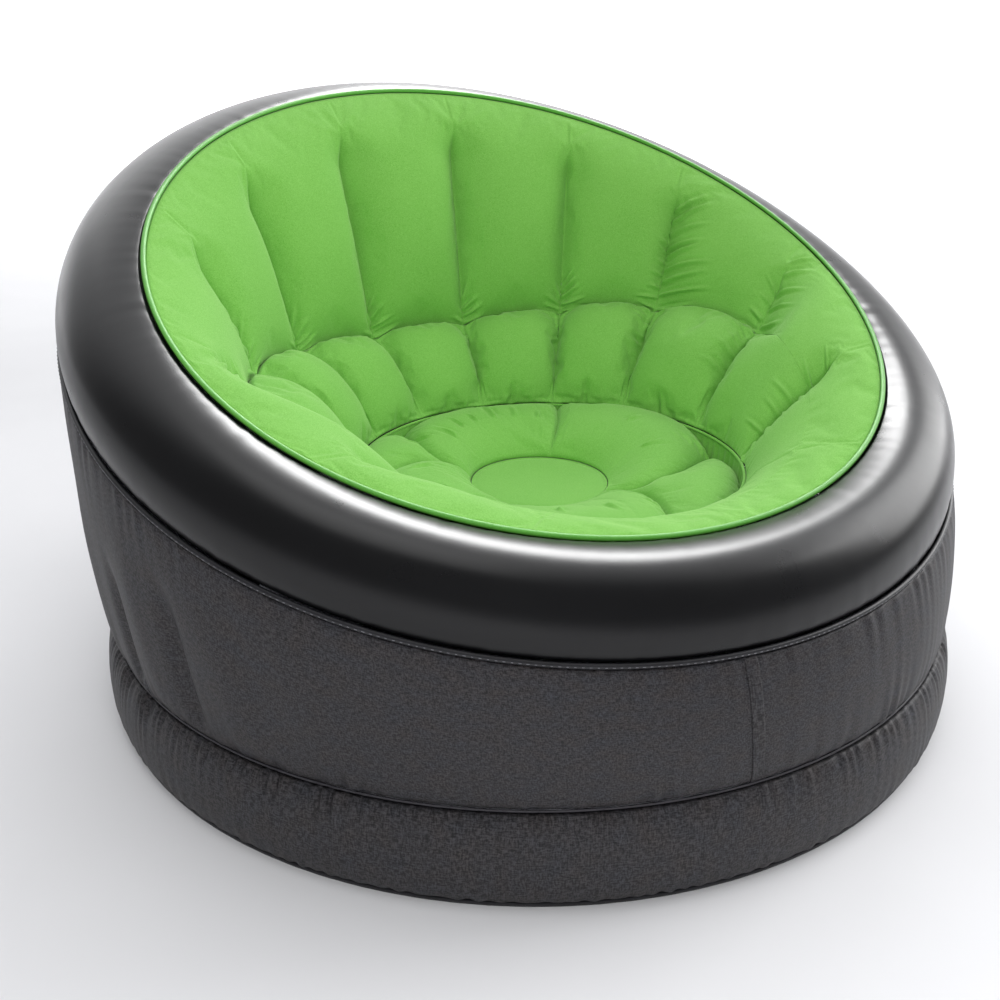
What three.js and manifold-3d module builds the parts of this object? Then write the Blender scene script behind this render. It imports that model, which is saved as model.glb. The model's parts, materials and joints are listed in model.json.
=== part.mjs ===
// An inflatable club chair, built as its welded sheets: a charcoal body, a glossy black top tube, a flocked green
// bowl of air chambers round a puffed seat, the tie sheets inside that hold its shape, and its two-stage air valve.
// Millimetres, +Z up, the chair faces -Y, and the origin is on the floor under the middle of the base.
import * as THREE from "three";
import { mergeVertices } from "three/addons/utils/BufferGeometryUtils.js";
import Module from "manifold-3d";

const wasm = await Module();
wasm.setup();

// Sheet stock and the clearances that all pieces share
const VINYL = 0.6;
const FLOCKED = 1.0;
const TIE_SHEET = 0.5;
const GAP = 0.35;
const OVERRUN = 5;

// The seams are closed loops, each inside the one before it. The lists give how far a seam stands in from the last
// one and above it, at the side, at the back and at the front.
const BASE_RADIUS = 534;
const FLOOR_BEAD = 2.5;
const WAIST_INSET = 5;
const WAIST_HEIGHT = 108;
const BAND_OVERHANG = { side: 14, back: 8, front: -26 };
const BAND_ABOVE_WAIST = { side: 292, back: 514, front: 134 };
const RIM_INSET = { side: 87, back: 174, front: 106 };
const RIM_ABOVE_BAND = { side: 102, back: 79, front: 81 };
const RING_INSET = { side: 100, back: 79, front: 43 };
const RING_BELOW_RIM = { side: 114, back: 330, front: 26 };
const SEAT_INSET = 119;
const SEAT_MIDDLE = -52;
const SEAT_BELOW_RING = 22;
const WELL_INSET = 6;
const WELL_DEPTH = 63;
const BUTTON_RADIUS = 88;
const BUTTON_OFFSET = 23;
const BUTTON_ABOVE_WELL = 32;

// How far the air pushes each sheet out from a straight run between its seams: a length on the outer sheets, and a
// share of the run's length in the bowl
const BASE_BULGE = 14;
const BODY_BULGE = 10;
const BAND_BULGE = 40;
const BACK_BULGE_SHARE = 0.13;
const SURROUND_BULGE_SHARE = 0.24;
const ROLL_BULGE_SHARE = 0.16;
const SEAT_BULGE_SHARE = 0.29;

// Beads of weld and piping at the seams, by half thickness
const PIPING = 3;
const RIM_LIP = 3;
const SEAM_BEAD = 2;

// Air chambers: five narrow ones across the back and eight wide ones round the sides and front. Every crease falls
// on a column of the sheets. Round the low front the creases fade out, and the wall is one smooth roll.
const TURN = 2 * Math.PI;
const BACK_CHAMBERS = 5;
const SIDE_CHAMBERS = 8;
const BACK_START = TURN / 12;
const BACK_SPAN = TURN / 3;
const BACK_PITCH = BACK_SPAN / BACK_CHAMBERS;
const SIDE_PITCH = (TURN - BACK_SPAN) / SIDE_CHAMBERS;
const COLUMNS = 60;
const SEAT_PUFFS = 6;
const PUFF_ANGLE = TURN / SEAT_PUFFS;
const FIRST_PUFF_CREASE = BACK_START + BACK_PITCH;
const CREASE_START_SHARE = 0.24;
const SEAT_CREASE_SHARE = 0.7;
const RING_FADE_SHARES = [0.5, 0.64];
const CREASE_FADE_SHARES = [0.76, 0.95];
const RING_SHARE = 0.46;

const GLOSS_BLACK = new THREE.MeshStandardMaterial({ color: 0x1c1c1f, roughness: 0.18, metalness: 0 });
const CHARCOAL = new THREE.MeshStandardMaterial({ color: 0x46454a, roughness: 0.85, metalness: 0 });
const GREEN = new THREE.MeshStandardMaterial({ color: 0x67b540, roughness: 0.9, metalness: 0 });
const MILKY_VINYL = new THREE.MeshStandardMaterial({ color: 0xb9bcc2, roughness: 0.5, metalness: 0 });
const VALVE_BLACK = new THREE.MeshStandardMaterial({ color: 0x2a2a2e, roughness: 0.4, metalness: 0 });

const chair = new THREE.Group();

function put(name, geometry, material, parent = chair) {
  const mesh = new THREE.Mesh(geometry, material);
  mesh.name = name;
  parent.add(mesh);
}

const smooth = (low, high, x) => THREE.MathUtils.smoothstep(x, low, high);
const arch = (share) => 4 * share * (1 - share);
const columnAngle = (column) => BACK_START + (column * TURN) / COLUMNS;

// A seam from its reaches out of the middle of the base and its heights
function loop(reach, height) {
  const level = (height.back + height.front) / 2;
  return {
    reach,
    heights: height,
    width: reach.side,
    depth: (reach.back + reach.front) / 2,
    middle: (reach.back - reach.front) / 2,
    height: (height.side + level) / 2,
    rise: (height.back - height.front) / 2,
    lift: (height.side - level) / 2,
  };
}

// A seam that stands in from another one, and above it or below it
const places = ["side", "back", "front"];
const added = (one, other, sign) => Object.fromEntries(places.map((place) =>
  [place, one[place] + sign * other[place]]));
const evenly = (length) => ({ side: length, back: length, front: length });
const outside = (seam, out, up) => loop(added(seam.reach, out, 1), added(seam.heights, up, 1));
const above = (seam, inset, up) => loop(added(seam.reach, inset, -1), added(seam.heights, up, 1));
const below = (seam, inset, down) => loop(added(seam.reach, inset, -1), added(seam.heights, down, -1));

// A round, level seam whose middle may lie off the middle of the base
const circle = (radius, middle, height) =>
  loop({ side: radius, back: radius + middle, front: radius - middle }, evenly(height));

const FLOOR_SEAM = circle(BASE_RADIUS, 0, FLOOR_BEAD);
const WAIST_SEAM = circle(BASE_RADIUS - WAIST_INSET, 0, WAIST_HEIGHT);
const BAND_SEAM = outside(circle(BASE_RADIUS, 0, WAIST_HEIGHT), BAND_OVERHANG, BAND_ABOVE_WAIST);
const RIM = above(BAND_SEAM, RIM_INSET, RIM_ABOVE_BAND);
const RING_CREASE = below(RIM, RING_INSET, RING_BELOW_RIM);
const SEAT_RING = circle(RING_CREASE.width - SEAT_INSET, SEAT_MIDDLE, RING_CREASE.heights.front - SEAT_BELOW_RING);
const WELL = circle(SEAT_RING.width - WELL_INSET, SEAT_MIDDLE, SEAT_RING.height - WELL_DEPTH);
const BUTTON = circle(BUTTON_RADIUS, SEAT_MIDDLE + BUTTON_OFFSET, WELL.height + BUTTON_ABOVE_WELL);

// A point of a seam at an angle round the chair, with the back at a quarter turn
function onSeam(seam, angle) {
  return new THREE.Vector3(
    seam.width * Math.cos(angle),
    seam.middle + seam.depth * Math.sin(angle),
    seam.height + seam.rise * Math.sin(angle) + seam.lift * Math.cos(2 * angle),
  );
}

// 0 on a crease and 1 on the crown between two creases, from the distance across in pitches
const CROWN_WIDTH_POWER = 2.2;
const CROWN_ROUND_POWER = 0.6;
function crown(pitches) {
  const across = pitches - Math.floor(pitches);
  return Math.pow(1 - Math.pow(Math.abs(2 * across - 1), CROWN_WIDTH_POWER), CROWN_ROUND_POWER);
}

function chamberCrown(angle) {
  const round = THREE.MathUtils.euclideanModulo(angle - BACK_START, TURN);
  return crown(round < BACK_SPAN ? round / BACK_PITCH : (round - BACK_SPAN) / SIDE_PITCH);
}

const seatCrown = (angle) => crown((angle - FIRST_PUFF_CREASE) / PUFF_ANGLE);

// How deep the ring crease and the upright creases are: full at the back, and nothing where they have faded out
const depthAt = (angle, [start, end]) => 1 - smooth(start, end, (1 - Math.sin(angle)) / 2);
const ringDepth = (angle) => depthAt(angle, RING_FADE_SHARES);
const creaseDepth = (angle) => depthAt(angle, CREASE_FADE_SHARES);

// How far a sheet stops short of a seam, so that it just clears the square bead there from its own direction
function trim(direction, half, thickness) {
  const [up, out] = [Math.abs(direction.z), Math.hypot(direction.x, direction.y)];
  return (half + thickness * Math.min(up, out) + GAP) / Math.max(up, out);
}

// A sheet's face between two seams with beads of given half thickness, pushed out by the air
const ANGLE_STEP = 0.01;
function run(from, to, beadFrom, beadTo, thickness, bulge) {
  return (angle, share) => {
    const start = onSeam(from, angle);
    const across = onSeam(to, angle).sub(start);
    const direction = across.clone().normalize();
    const first = trim(direction, beadFrom, thickness);
    const last = across.length() - trim(direction, beadTo, thickness);
    const outwards = onSeam(from, angle + ANGLE_STEP).sub(onSeam(from, angle - ANGLE_STEP)).cross(across);
    start.addScaledVector(direction, THREE.MathUtils.lerp(first, last, share));
    return start.addScaledVector(outwards.normalize(), bulge(angle, share, across.length()));
  };
}

// A point behind a face, on the side of the air
function behind(face, angle, share, distance) {
  const round = face(angle + ANGLE_STEP, share).sub(face(angle - ANGLE_STEP, share));
  const [low, high] = [Math.max(share - ANGLE_STEP, 0), Math.min(share + ANGLE_STEP, 1)];
  const along = face(angle, high).sub(face(angle, low));
  return face(angle, share).addScaledVector(round.cross(along).normalize(), -distance);
}

// A geometry from points and triangles, turned so that its faces point out
function facingOut(points, triangles) {
  let volume = 0;
  for (let i = 0; i < triangles.length; i += 3) {
    const [a, b, c] = [points[triangles[i]], points[triangles[i + 1]], points[triangles[i + 2]]];
    volume += a.dot(b.clone().cross(c));
  }
  if (volume < 0) triangles.reverse();
  const geometry = new THREE.BufferGeometry().setFromPoints(points);
  geometry.setIndex(triangles);
  return geometry;
}

// A closed thin solid from two grids of points, front(column, row) and back(column, row).
// Its columns close in a ring, or end where the sheet is open.
function shell(front, back, columns, rows, open = false) {
  const count = open ? columns + 1 : columns;
  const points = [];
  for (const side of [front, back]) {
    for (let column = 0; column < count; column++) {
      for (let row = 0; row <= rows; row++) points.push(side(column, row));
    }
  }
  const at = (side, column, row) => (side * count + (column % count)) * (rows + 1) + row;
  const triangles = [];
  const quad = (a, b, c, d) => triangles.push(a, b, c, a, c, d);
  for (let column = 0; column < columns; column++) {
    const next = column + 1;
    for (let row = 0; row < rows; row++) {
      quad(at(0, column, row), at(0, next, row), at(0, next, row + 1), at(0, column, row + 1));
      quad(at(1, column, row), at(1, column, row + 1), at(1, next, row + 1), at(1, next, row));
    }
    quad(at(0, column, 0), at(1, column, 0), at(1, next, 0), at(0, next, 0));
    quad(at(0, column, rows), at(0, next, rows), at(1, next, rows), at(1, column, rows));
  }
  if (open) {
    for (let row = 0; row < rows; row++) {
      quad(at(0, 0, row), at(0, 0, row + 1), at(1, 0, row + 1), at(1, 0, row));
      quad(at(0, columns, row), at(1, columns, row), at(1, columns, row + 1), at(0, columns, row + 1));
    }
  }
  return facingOut(points, triangles);
}

// A sheet all round the chair, with its thickness on the side of the air
function sheet(face, rows, thickness) {
  return shell(
    (column, row) => face(columnAngle(column), row / rows),
    (column, row) => behind(face, columnAngle(column), row / rows, thickness),
    COLUMNS,
    rows,
  );
}

// A bead that follows a seam, with a square section
function bead(seam, half) {
  const side = (out) => (column, row) => {
    const angle = columnAngle(column);
    const direction = new THREE.Vector3(seam.depth * Math.cos(angle), seam.width * Math.sin(angle), 0).normalize();
    const point = onSeam(seam, angle).addScaledVector(direction, out);
    point.z += (2 * row - 1) * half;
    return point;
  };
  return shell(side(half), side(-half), COLUMNS, 1);
}

// A flat ring or a tube wall between two upright circles
function between(middle, outerRadius, innerRadius, low, high, columns = COLUMNS) {
  const wall = (radius) => (column, row) => {
    const angle = columnAngle((column * COLUMNS) / columns);
    return new THREE.Vector3(radius * Math.cos(angle), middle + radius * Math.sin(angle), row ? high : low);
  };
  return shell(wall(outerRadius), wall(innerRadius), columns, 1);
}

// A flat disc with a corner on each column
function disc(middle, radius, low, thickness) {
  const corners = Array.from({ length: COLUMNS }, (_, column) => new THREE.Vector2(
    radius * Math.cos(columnAngle(column)),
    middle + radius * Math.sin(columnAngle(column)),
  ));
  const settings = { depth: thickness, bevelEnabled: false };
  return new THREE.ExtrudeGeometry(new THREE.Shape(corners), settings).translate(0, 0, low);
}

// A closed geometry as a solid, for cuts and joins, and the geometry of a solid
function solid(geometry) {
  const bare = geometry.clone();
  bare.deleteAttribute("normal");
  bare.deleteAttribute("uv");
  const merged = mergeVertices(bare);
  return new wasm.Manifold(new wasm.Mesh({
    numProp: 3,
    vertProperties: new Float32Array(merged.attributes.position.array),
    triVerts: new Uint32Array(merged.index.array),
  }));
}

function geometryOf(manifold) {
  const mesh = manifold.getMesh();
  const geometry = new THREE.BufferGeometry();
  geometry.setAttribute("position", new THREE.BufferAttribute(new Float32Array(mesh.vertProperties), 3));
  geometry.setIndex(new THREE.BufferAttribute(new Uint32Array(mesh.triVerts), 1));
  return geometry;
}

// Floor panel: a flat disc welded to the base inside the floor bead
put("floor_panel", disc(0, FLOOR_SEAM.width - FLOOR_BEAD - GAP, 0, VINYL), GLOSS_BLACK);
put("floor_weld_bead", bead(FLOOR_SEAM, FLOOR_BEAD), GLOSS_BLACK);

// Base: the low bulge under the waist
const BASE_ROWS = 4;
const baseFace = run(FLOOR_SEAM, WAIST_SEAM, FLOOR_BEAD, SEAM_BEAD, VINYL, (angle, share) =>
  BASE_BULGE * Math.sqrt(arch(share)));
put("base_side_panel", sheet(baseFace, BASE_ROWS, VINYL), CHARCOAL);
put("waist_weld_bead", bead(WAIST_SEAM, SEAM_BEAD), CHARCOAL);

// Body: the tall side wall up to the band, with a hole for the valve
const BODY_ROWS = 2;
const bodyFace = run(WAIST_SEAM, BAND_SEAM, SEAM_BEAD, PIPING, VINYL, (angle, share) =>
  BODY_BULGE * arch(share));
const bodyPanel = sheet(bodyFace, BODY_ROWS, VINYL);

// A point in the flat facet of the side wall, between two of its columns
function onFacet(column, share) {
  const low = Math.floor(column);
  return bodyFace(columnAngle(low), share).lerp(bodyFace(columnAngle(low + 1), share), column - low);
}

// A point just inside the side wall at a column, in its flat rows
function insideWall(angle, share) {
  const row = Math.min(Math.floor(share * BODY_ROWS), BODY_ROWS - 1);
  const [low, high] = [row, row + 1].map((edge) => behind(bodyFace, angle, edge / BODY_ROWS, VINYL + GAP));
  return low.lerp(high, share * BODY_ROWS - row);
}

// The lap seam where the side wall's two ends are welded: a strip that lies on one facet at the front
const LAP_WIDTH = 14;
const LAP_COLUMN = 38.5;
const lapHalf = (LAP_WIDTH * COLUMNS) / (2 * TURN * WAIST_SEAM.width);
const lapPoint = (lift) => (column, row) => {
  const angle = columnAngle(LAP_COLUMN);
  const point = onFacet(LAP_COLUMN + (2 * column - 1) * lapHalf, row / BODY_ROWS);
  return point.addScaledVector(new THREE.Vector3(Math.cos(angle), Math.sin(angle), 0), lift);
};
put("side_lap_seam", shell(lapPoint(GAP + VINYL), lapPoint(GAP), 1, BODY_ROWS, true), CHARCOAL);

// Band: the glossy tube over the top, with piping below it and the bowl's welded lip inside it
const BAND_ROWS = 5;
const BAND_ROUND_POWER = 0.8;
const bandFace = run(BAND_SEAM, RIM, PIPING, RIM_LIP, VINYL, (angle, share) =>
  BAND_BULGE * Math.pow(arch(share), BAND_ROUND_POWER));
put("band_piping", bead(BAND_SEAM, PIPING), GLOSS_BLACK);
put("top_band", sheet(bandFace, BAND_ROWS, VINYL), GLOSS_BLACK);
put("rim_weld_lip", bead(RIM, RIM_LIP), GREEN);

// Bowl: tall chambers up the back, then a ring of pillows round the seat. Towards the front the two meet in one roll.
const PILLOW_ROUND_POWER = 0.7;
const ROLL_ROUND_POWER = 0.8;
const BACK_ROWS = 5;
const SURROUND_ROWS = 4;
const pillow = (share) => Math.pow(arch(share), PILLOW_ROUND_POWER);
const pressed = (angle) => creaseDepth(angle) * (1 - chamberCrown(angle));
const started = (share) => smooth(0, CREASE_START_SHARE, share);
const chamber = run(RIM, RING_CREASE, RIM_LIP, 0, FLOCKED, (angle, share, length) =>
  BACK_BULGE_SHARE * length * pillow(share) * (1 - started(share) * pressed(angle)));
const ringPillow = run(RING_CREASE, SEAT_RING, 0, SEAM_BEAD, FLOCKED, (angle, share, length) =>
  SURROUND_BULGE_SHARE * length * pillow(share) * (1 - pressed(angle)));
const roll = run(RIM, SEAT_RING, RIM_LIP, SEAM_BEAD, FLOCKED, (angle, share, length) =>
  ROLL_BULGE_SHARE * length * Math.pow(arch(share), ROLL_ROUND_POWER)
    * (1 - started(share / RING_SHARE) * pressed(angle)));
const gapShare = (angle) => GAP / onSeam(RIM, angle).distanceTo(onSeam(SEAT_RING, angle));
const backFace = (angle, share) =>
  chamber(angle, share).lerp(roll(angle, share * (RING_SHARE - gapShare(angle))), 1 - ringDepth(angle));
const surroundFace = (angle, share) => {
  const rollShare = THREE.MathUtils.lerp(RING_SHARE + gapShare(angle), 1, share);
  return ringPillow(angle, share).lerp(roll(angle, rollShare), 1 - ringDepth(angle));
};
const gussetFace = run(SEAT_RING, WELL, SEAM_BEAD, 0, FLOCKED, () => 0);
put("back_panel", sheet(backFace, BACK_ROWS, FLOCKED), GREEN);
put("seat_surround_panel", sheet(surroundFace, SURROUND_ROWS, FLOCKED), GREEN);
put("seat_ring_weld", bead(SEAT_RING, SEAM_BEAD), GREEN);
put("seat_well_gusset", sheet(gussetFace, 1, FLOCKED), GREEN);

// Seat: a ring of puffs drawn in at its creases round a flat button
const SEAT_ROWS = 5;
const seatFace = run(WELL, BUTTON, 0, 0, FLOCKED, (angle, share, length) =>
  SEAT_BULGE_SHARE * length * pillow(share) * (1 - SEAT_CREASE_SHARE * (1 - seatCrown(angle))));
put("seat_cushion", sheet(seatFace, SEAT_ROWS, FLOCKED), GREEN);
put("seat_button", disc(BUTTON.middle, BUTTON.width - GAP, BUTTON.height - FLOCKED, FLOCKED), GREEN);

// Tie sheets: one behind each crease of the bowl, out to the side wall, with its lower edge free
const TIE_TOP_SHARE = 0.96;
const TIE_FOOT_SHARE = 0.35;
const TIE_ROWS = BACK_ROWS + SURROUND_ROWS;
const LEAST_CREASE_SHARE = 0.5;
const tieStandoff = FLOCKED + 2 * GAP;
let ties = 0;
for (let crease = 0; crease < BACK_CHAMBERS + SIDE_CHAMBERS; crease++) {
  const angle = BACK_START + (crease < BACK_CHAMBERS
    ? crease * BACK_PITCH
    : BACK_SPAN + (crease - BACK_CHAMBERS) * SIDE_PITCH);
  if (creaseDepth(angle) < LEAST_CREASE_SHARE) continue;
  ties += 1;
  const inner = (row) => (row < BACK_ROWS
    ? behind(backFace, angle, (row + 1) / BACK_ROWS, tieStandoff)
    : behind(surroundFace, angle, (row + 1 - BACK_ROWS) / SURROUND_ROWS, tieStandoff));
  const outer = (row) =>
    insideWall(angle, THREE.MathUtils.lerp(TIE_TOP_SHARE, TIE_FOOT_SHARE, row / (TIE_ROWS - 1)));
  const aside = new THREE.Vector3(-Math.sin(angle), Math.cos(angle), 0);
  const side = (shift) => (column, row) => (column ? outer(row) : inner(row)).addScaledVector(aside, shift);
  const geometry = shell(side(TIE_SHEET / 2), side(-TIE_SHEET / 2), 1, TIE_ROWS - 1, true);
  put(`tie_sheet_${String(ties).padStart(2, "0")}`, geometry, MILKY_VINYL);
}

// Waist ring: a flat ring that holds the waist seam in, with the air free to pass through its middle
const WAIST_RING_WIDTH = 120;
const waistRingRadius = WAIST_SEAM.width - SEAM_BEAD - GAP;
put("waist_tie_ring", between(
  WAIST_SEAM.middle,
  waistRingRadius,
  waistRingRadius - WAIST_RING_WIDTH,
  WAIST_SEAM.height - TIE_SHEET / 2,
  WAIST_SEAM.height + TIE_SHEET / 2,
), MILKY_VINYL);

// Seat ties: a skirt under the well and a sleeve under the button, both down to the floor panel
const SLEEVE_COLUMNS = 30;
const skirtRadius = WELL.width - FLOCKED - GAP;
const tieFoot = VINYL + GAP;
put("seat_well_skirt", between(
  WELL.middle,
  skirtRadius,
  skirtRadius - TIE_SHEET,
  tieFoot,
  WELL.height - FLOCKED - 2 * GAP,
), MILKY_VINYL);
put("seat_button_sleeve", between(
  BUTTON.middle,
  BUTTON.width - GAP,
  BUTTON.width - GAP - TIE_SHEET,
  tieFoot,
  BUTTON.height - FLOCKED - GAP,
  SLEEVE_COLUMNS,
), MILKY_VINYL);

// Valve: it sits in the middle of one facet, low on the back of the side wall, and points straight out.
// In its own frame +Z points out of the chair, +Y up the wall, and zero is the wall's outer face.
const VALVE_COLUMN = 6.5;
const VALVE_SHARE = 0.25;
const VALVE_SIDES = 24;
const STRAP = 1.2;
const STRAP_WIDTH = 10;
const HINGE_PLAY = 1.4;
const TONGUE_SHORT = 0.15;
const LUG = 4;
const ROOT = 2;

const valve = new THREE.Group();
const wallUp = onFacet(VALVE_COLUMN, 1 / BODY_ROWS).sub(onFacet(VALVE_COLUMN, 0)).normalize();
const facetSides = [Math.floor(VALVE_COLUMN), Math.ceil(VALVE_COLUMN)].map((column) =>
  bodyFace(columnAngle(column), VALVE_SHARE));
const wallOut = facetSides[1].sub(facetSides[0]).cross(wallUp).normalize();
const wallAcross = wallUp.clone().cross(wallOut);
valve.quaternion.setFromRotationMatrix(new THREE.Matrix4().makeBasis(wallAcross, wallUp, wallOut));
valve.position.copy(onFacet(VALVE_COLUMN, 0)).lerp(onFacet(VALVE_COLUMN, 1 / BODY_ROWS), VALVE_SHARE * BODY_ROWS);
valve.updateMatrix();
chair.add(valve);

// A shape turned about +Z from a closed outline of [radius, height] corners
function turned(corners) {
  const outline = [...corners, corners[0]].map(([radius, height]) => new THREE.Vector2(radius, height));
  return new THREE.LatheGeometry(outline, VALVE_SIDES).rotateX(TURN / 4);
}

// A block from x, y, z lows to highs, centred in x
function strip(width, yLow, yHigh, zLow, zHigh) {
  const geometry = new THREE.BoxGeometry(width, yHigh - yLow, zHigh - zLow);
  return geometry.translate(0, (yLow + yHigh) / 2, (zLow + zHigh) / 2);
}

// Valve body: a flange welded behind the wall, a collar through it, a neck inside and a lug for the plug's strap
const BORE = 16;
const NECK_WALL = 2;
const NECK_DEPTH = 13;
const COLLAR = 19.5;
const COLLAR_HEIGHT = 2.5;
const FLANGE = 26;
const FLANGE_THICKNESS = 1.6;
const flangeTop = -VINYL - 2 * GAP;
const PLUG_HINGE = 24;
const strapLow = COLLAR_HEIGHT + GAP;
const lugStart = PLUG_HINGE + HINGE_PLAY;
const valveBody = solid(turned([
  [BORE, -NECK_DEPTH],
  [BORE + NECK_WALL, -NECK_DEPTH],
  [BORE + NECK_WALL, flangeTop - FLANGE_THICKNESS],
  [FLANGE, flangeTop - FLANGE_THICKNESS],
  [FLANGE, flangeTop],
  [COLLAR, flangeTop],
  [COLLAR, COLLAR_HEIGHT],
  [BORE, COLLAR_HEIGHT],
]))
  .add(solid(strip(STRAP_WIDTH, COLLAR - ROOT, lugStart + LUG, COLLAR_HEIGHT - STRAP, COLLAR_HEIGHT)))
  .add(solid(strip(STRAP_WIDTH, lugStart, lugStart + LUG, COLLAR_HEIGHT - STRAP, strapLow + STRAP)));
put("valve_body", geometryOf(valveBody), VALVE_BLACK, valve);

const collarHole = new THREE.CylinderGeometry(COLLAR + GAP, COLLAR + GAP, 2 * OVERRUN, VALVE_SIDES);
const cutBody = solid(bodyPanel).subtract(solid(collarHole.rotateX(TURN / 4).applyMatrix4(valve.matrix)));
put("body_side_panel", geometryOf(cutBody), CHARCOAL);

// Deflation plug: a tapered plug with a flange, the port for the pump, and a strap out to the hinge line
const PLUG_FLANGE = 20;
const PLUG_FLANGE_THICKNESS = 2;
const PLUG_DEPTH = 8;
const PLUG_TOP = 15.4;
const PLUG_TIP = 14.2;
const PORT = 6;
const CAP_HINGE = 11;
const plugFace = strapLow + PLUG_FLANGE_THICKNESS;
const plugTip = COLLAR_HEIGHT - PLUG_DEPTH;
const capStrapLow = plugFace + GAP;
const FLAP_HINGE = 8;
const FLAP_THICKNESS = 0.8;
const flapTop = plugTip - GAP;
const capLug = -CAP_HINGE - HINGE_PLAY;
const flapLug = FLAP_HINGE + HINGE_PLAY;
const CAP_LUG = 3;
const plug = solid(turned([
  [PORT, plugTip],
  [PLUG_TIP, plugTip],
  [PLUG_TOP, COLLAR_HEIGHT],
  [PLUG_TOP, strapLow],
  [PLUG_FLANGE, strapLow],
  [PLUG_FLANGE, plugFace],
  [PORT, plugFace],
]))
  .add(solid(strip(STRAP_WIDTH, PLUG_FLANGE - ROOT, PLUG_HINGE - TONGUE_SHORT, strapLow, strapLow + STRAP)))
  .add(solid(strip(PORT, capLug - CAP_LUG, capLug, plugFace - STRAP, capStrapLow + STRAP)))
  .add(solid(strip(PORT, flapLug, flapLug + CAP_LUG, flapTop - FLAP_THICKNESS, plugTip + STRAP)));
put("deflation_plug", geometryOf(plug), VALVE_BLACK, valve);

// Inflation cap: it closes the port, and its strap runs to the far side of the plug
const CAP_FLANGE = 8.5;
const CAP_THICKNESS = 1.6;
const CAP_DEPTH = 5;
const CAP_TOP = 5.4;
const CAP_TIP = 4.4;
const cap = solid(turned([
  [CAP_TIP / 2, plugFace - CAP_DEPTH],
  [CAP_TIP, plugFace - CAP_DEPTH],
  [CAP_TOP, plugFace],
  [CAP_TOP, capStrapLow],
  [CAP_FLANGE, capStrapLow],
  [CAP_FLANGE, capStrapLow + CAP_THICKNESS],
  [CAP_TIP / 2, capStrapLow + CAP_THICKNESS],
]))
  .add(solid(new THREE.CylinderGeometry(CAP_TIP, CAP_TIP, CAP_THICKNESS, VALVE_SIDES)
    .rotateX(TURN / 4).translate(0, 0, capStrapLow + CAP_THICKNESS / 2)))
  .add(solid(strip(PORT, TONGUE_SHORT - CAP_HINGE, ROOT - CAP_FLANGE, capStrapLow, capStrapLow + STRAP)));
put("inflation_cap", geometryOf(cap), VALVE_BLACK, valve);

// Non-return flap: a thin disc that covers the port from inside
const FLAP = 7;
const flap = solid(new THREE.CylinderGeometry(FLAP, FLAP, FLAP_THICKNESS, VALVE_SIDES)
  .rotateX(TURN / 4).translate(0, 0, flapTop - FLAP_THICKNESS / 2))
  .add(solid(strip(PORT, FLAP - ROOT, FLAP_HINGE - TONGUE_SHORT, flapTop - FLAP_THICKNESS, flapTop)));
put("non_return_flap", geometryOf(flap), MILKY_VINYL, valve);

export default chair;
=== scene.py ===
"""An inflatable club chair in a plain studio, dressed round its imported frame."""
import json
import math

import bpy
import numpy as np
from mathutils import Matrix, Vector


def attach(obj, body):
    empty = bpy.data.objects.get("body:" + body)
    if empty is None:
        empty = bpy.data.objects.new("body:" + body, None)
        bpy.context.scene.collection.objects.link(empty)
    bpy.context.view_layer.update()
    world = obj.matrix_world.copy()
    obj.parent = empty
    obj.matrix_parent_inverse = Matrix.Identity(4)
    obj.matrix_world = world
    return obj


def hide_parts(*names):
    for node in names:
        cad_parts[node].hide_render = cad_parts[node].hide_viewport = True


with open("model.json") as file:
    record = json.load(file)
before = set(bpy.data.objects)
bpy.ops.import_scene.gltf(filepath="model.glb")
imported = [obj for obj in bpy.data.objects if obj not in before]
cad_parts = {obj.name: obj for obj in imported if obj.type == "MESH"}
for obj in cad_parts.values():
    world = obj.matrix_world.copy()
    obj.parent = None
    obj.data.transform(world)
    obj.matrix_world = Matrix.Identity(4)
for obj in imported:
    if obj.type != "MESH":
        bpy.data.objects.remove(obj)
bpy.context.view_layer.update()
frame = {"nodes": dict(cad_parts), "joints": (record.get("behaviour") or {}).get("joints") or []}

# Camera
# It stands to the front left of the chair and a little above it, where the photographer stood. It aims at a point a
# little off the chair's middle, as the photograph is cropped so.
CAMERA_TURN = math.radians(-32.88)
CAMERA_RISE = math.radians(22.42)
CAMERA_DISTANCE = 1.516
AIM_HEIGHT = 0.33
AIM_RIGHT = -0.035
AIM_UP = -0.114
LENS = 42.55

back = Vector((
    math.sin(CAMERA_TURN) * math.cos(CAMERA_RISE),
    -math.cos(CAMERA_TURN) * math.cos(CAMERA_RISE),
    math.sin(CAMERA_RISE),
))
right = Vector((math.cos(CAMERA_TURN), math.sin(CAMERA_TURN), 0))
camera = bpy.data.objects.new("camera", bpy.data.cameras.new("camera"))
bpy.context.scene.collection.objects.link(camera)
camera.location = (
    Vector((0, 0, AIM_HEIGHT)) + right * AIM_RIGHT + back.cross(right) * AIM_UP + back * CAMERA_DISTANCE
)
camera.rotation_mode = "QUATERNION"
camera.rotation_quaternion = (-back).to_track_quat("-Z", "Y")
camera.data.lens = LENS
bpy.context.scene.camera = camera

# Floor weld bead
# A thin black flange of welded sheet round the foot of the chair, where the base and the floor panel meet. The weld
# tool pinches it every few centimetres, which shows as small nicks against the floor.
TURN = 2 * math.pi
ROUND_COLUMNS = 480
FLOOR_NICKS = 96
FLOOR_NICK_SHARE = 0.16
NICK_WIDTH_SHARE = 0.1
BEAD_ROUND = 10
KNURL_MM = 2.381
WEAR_MM = 26.32


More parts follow.
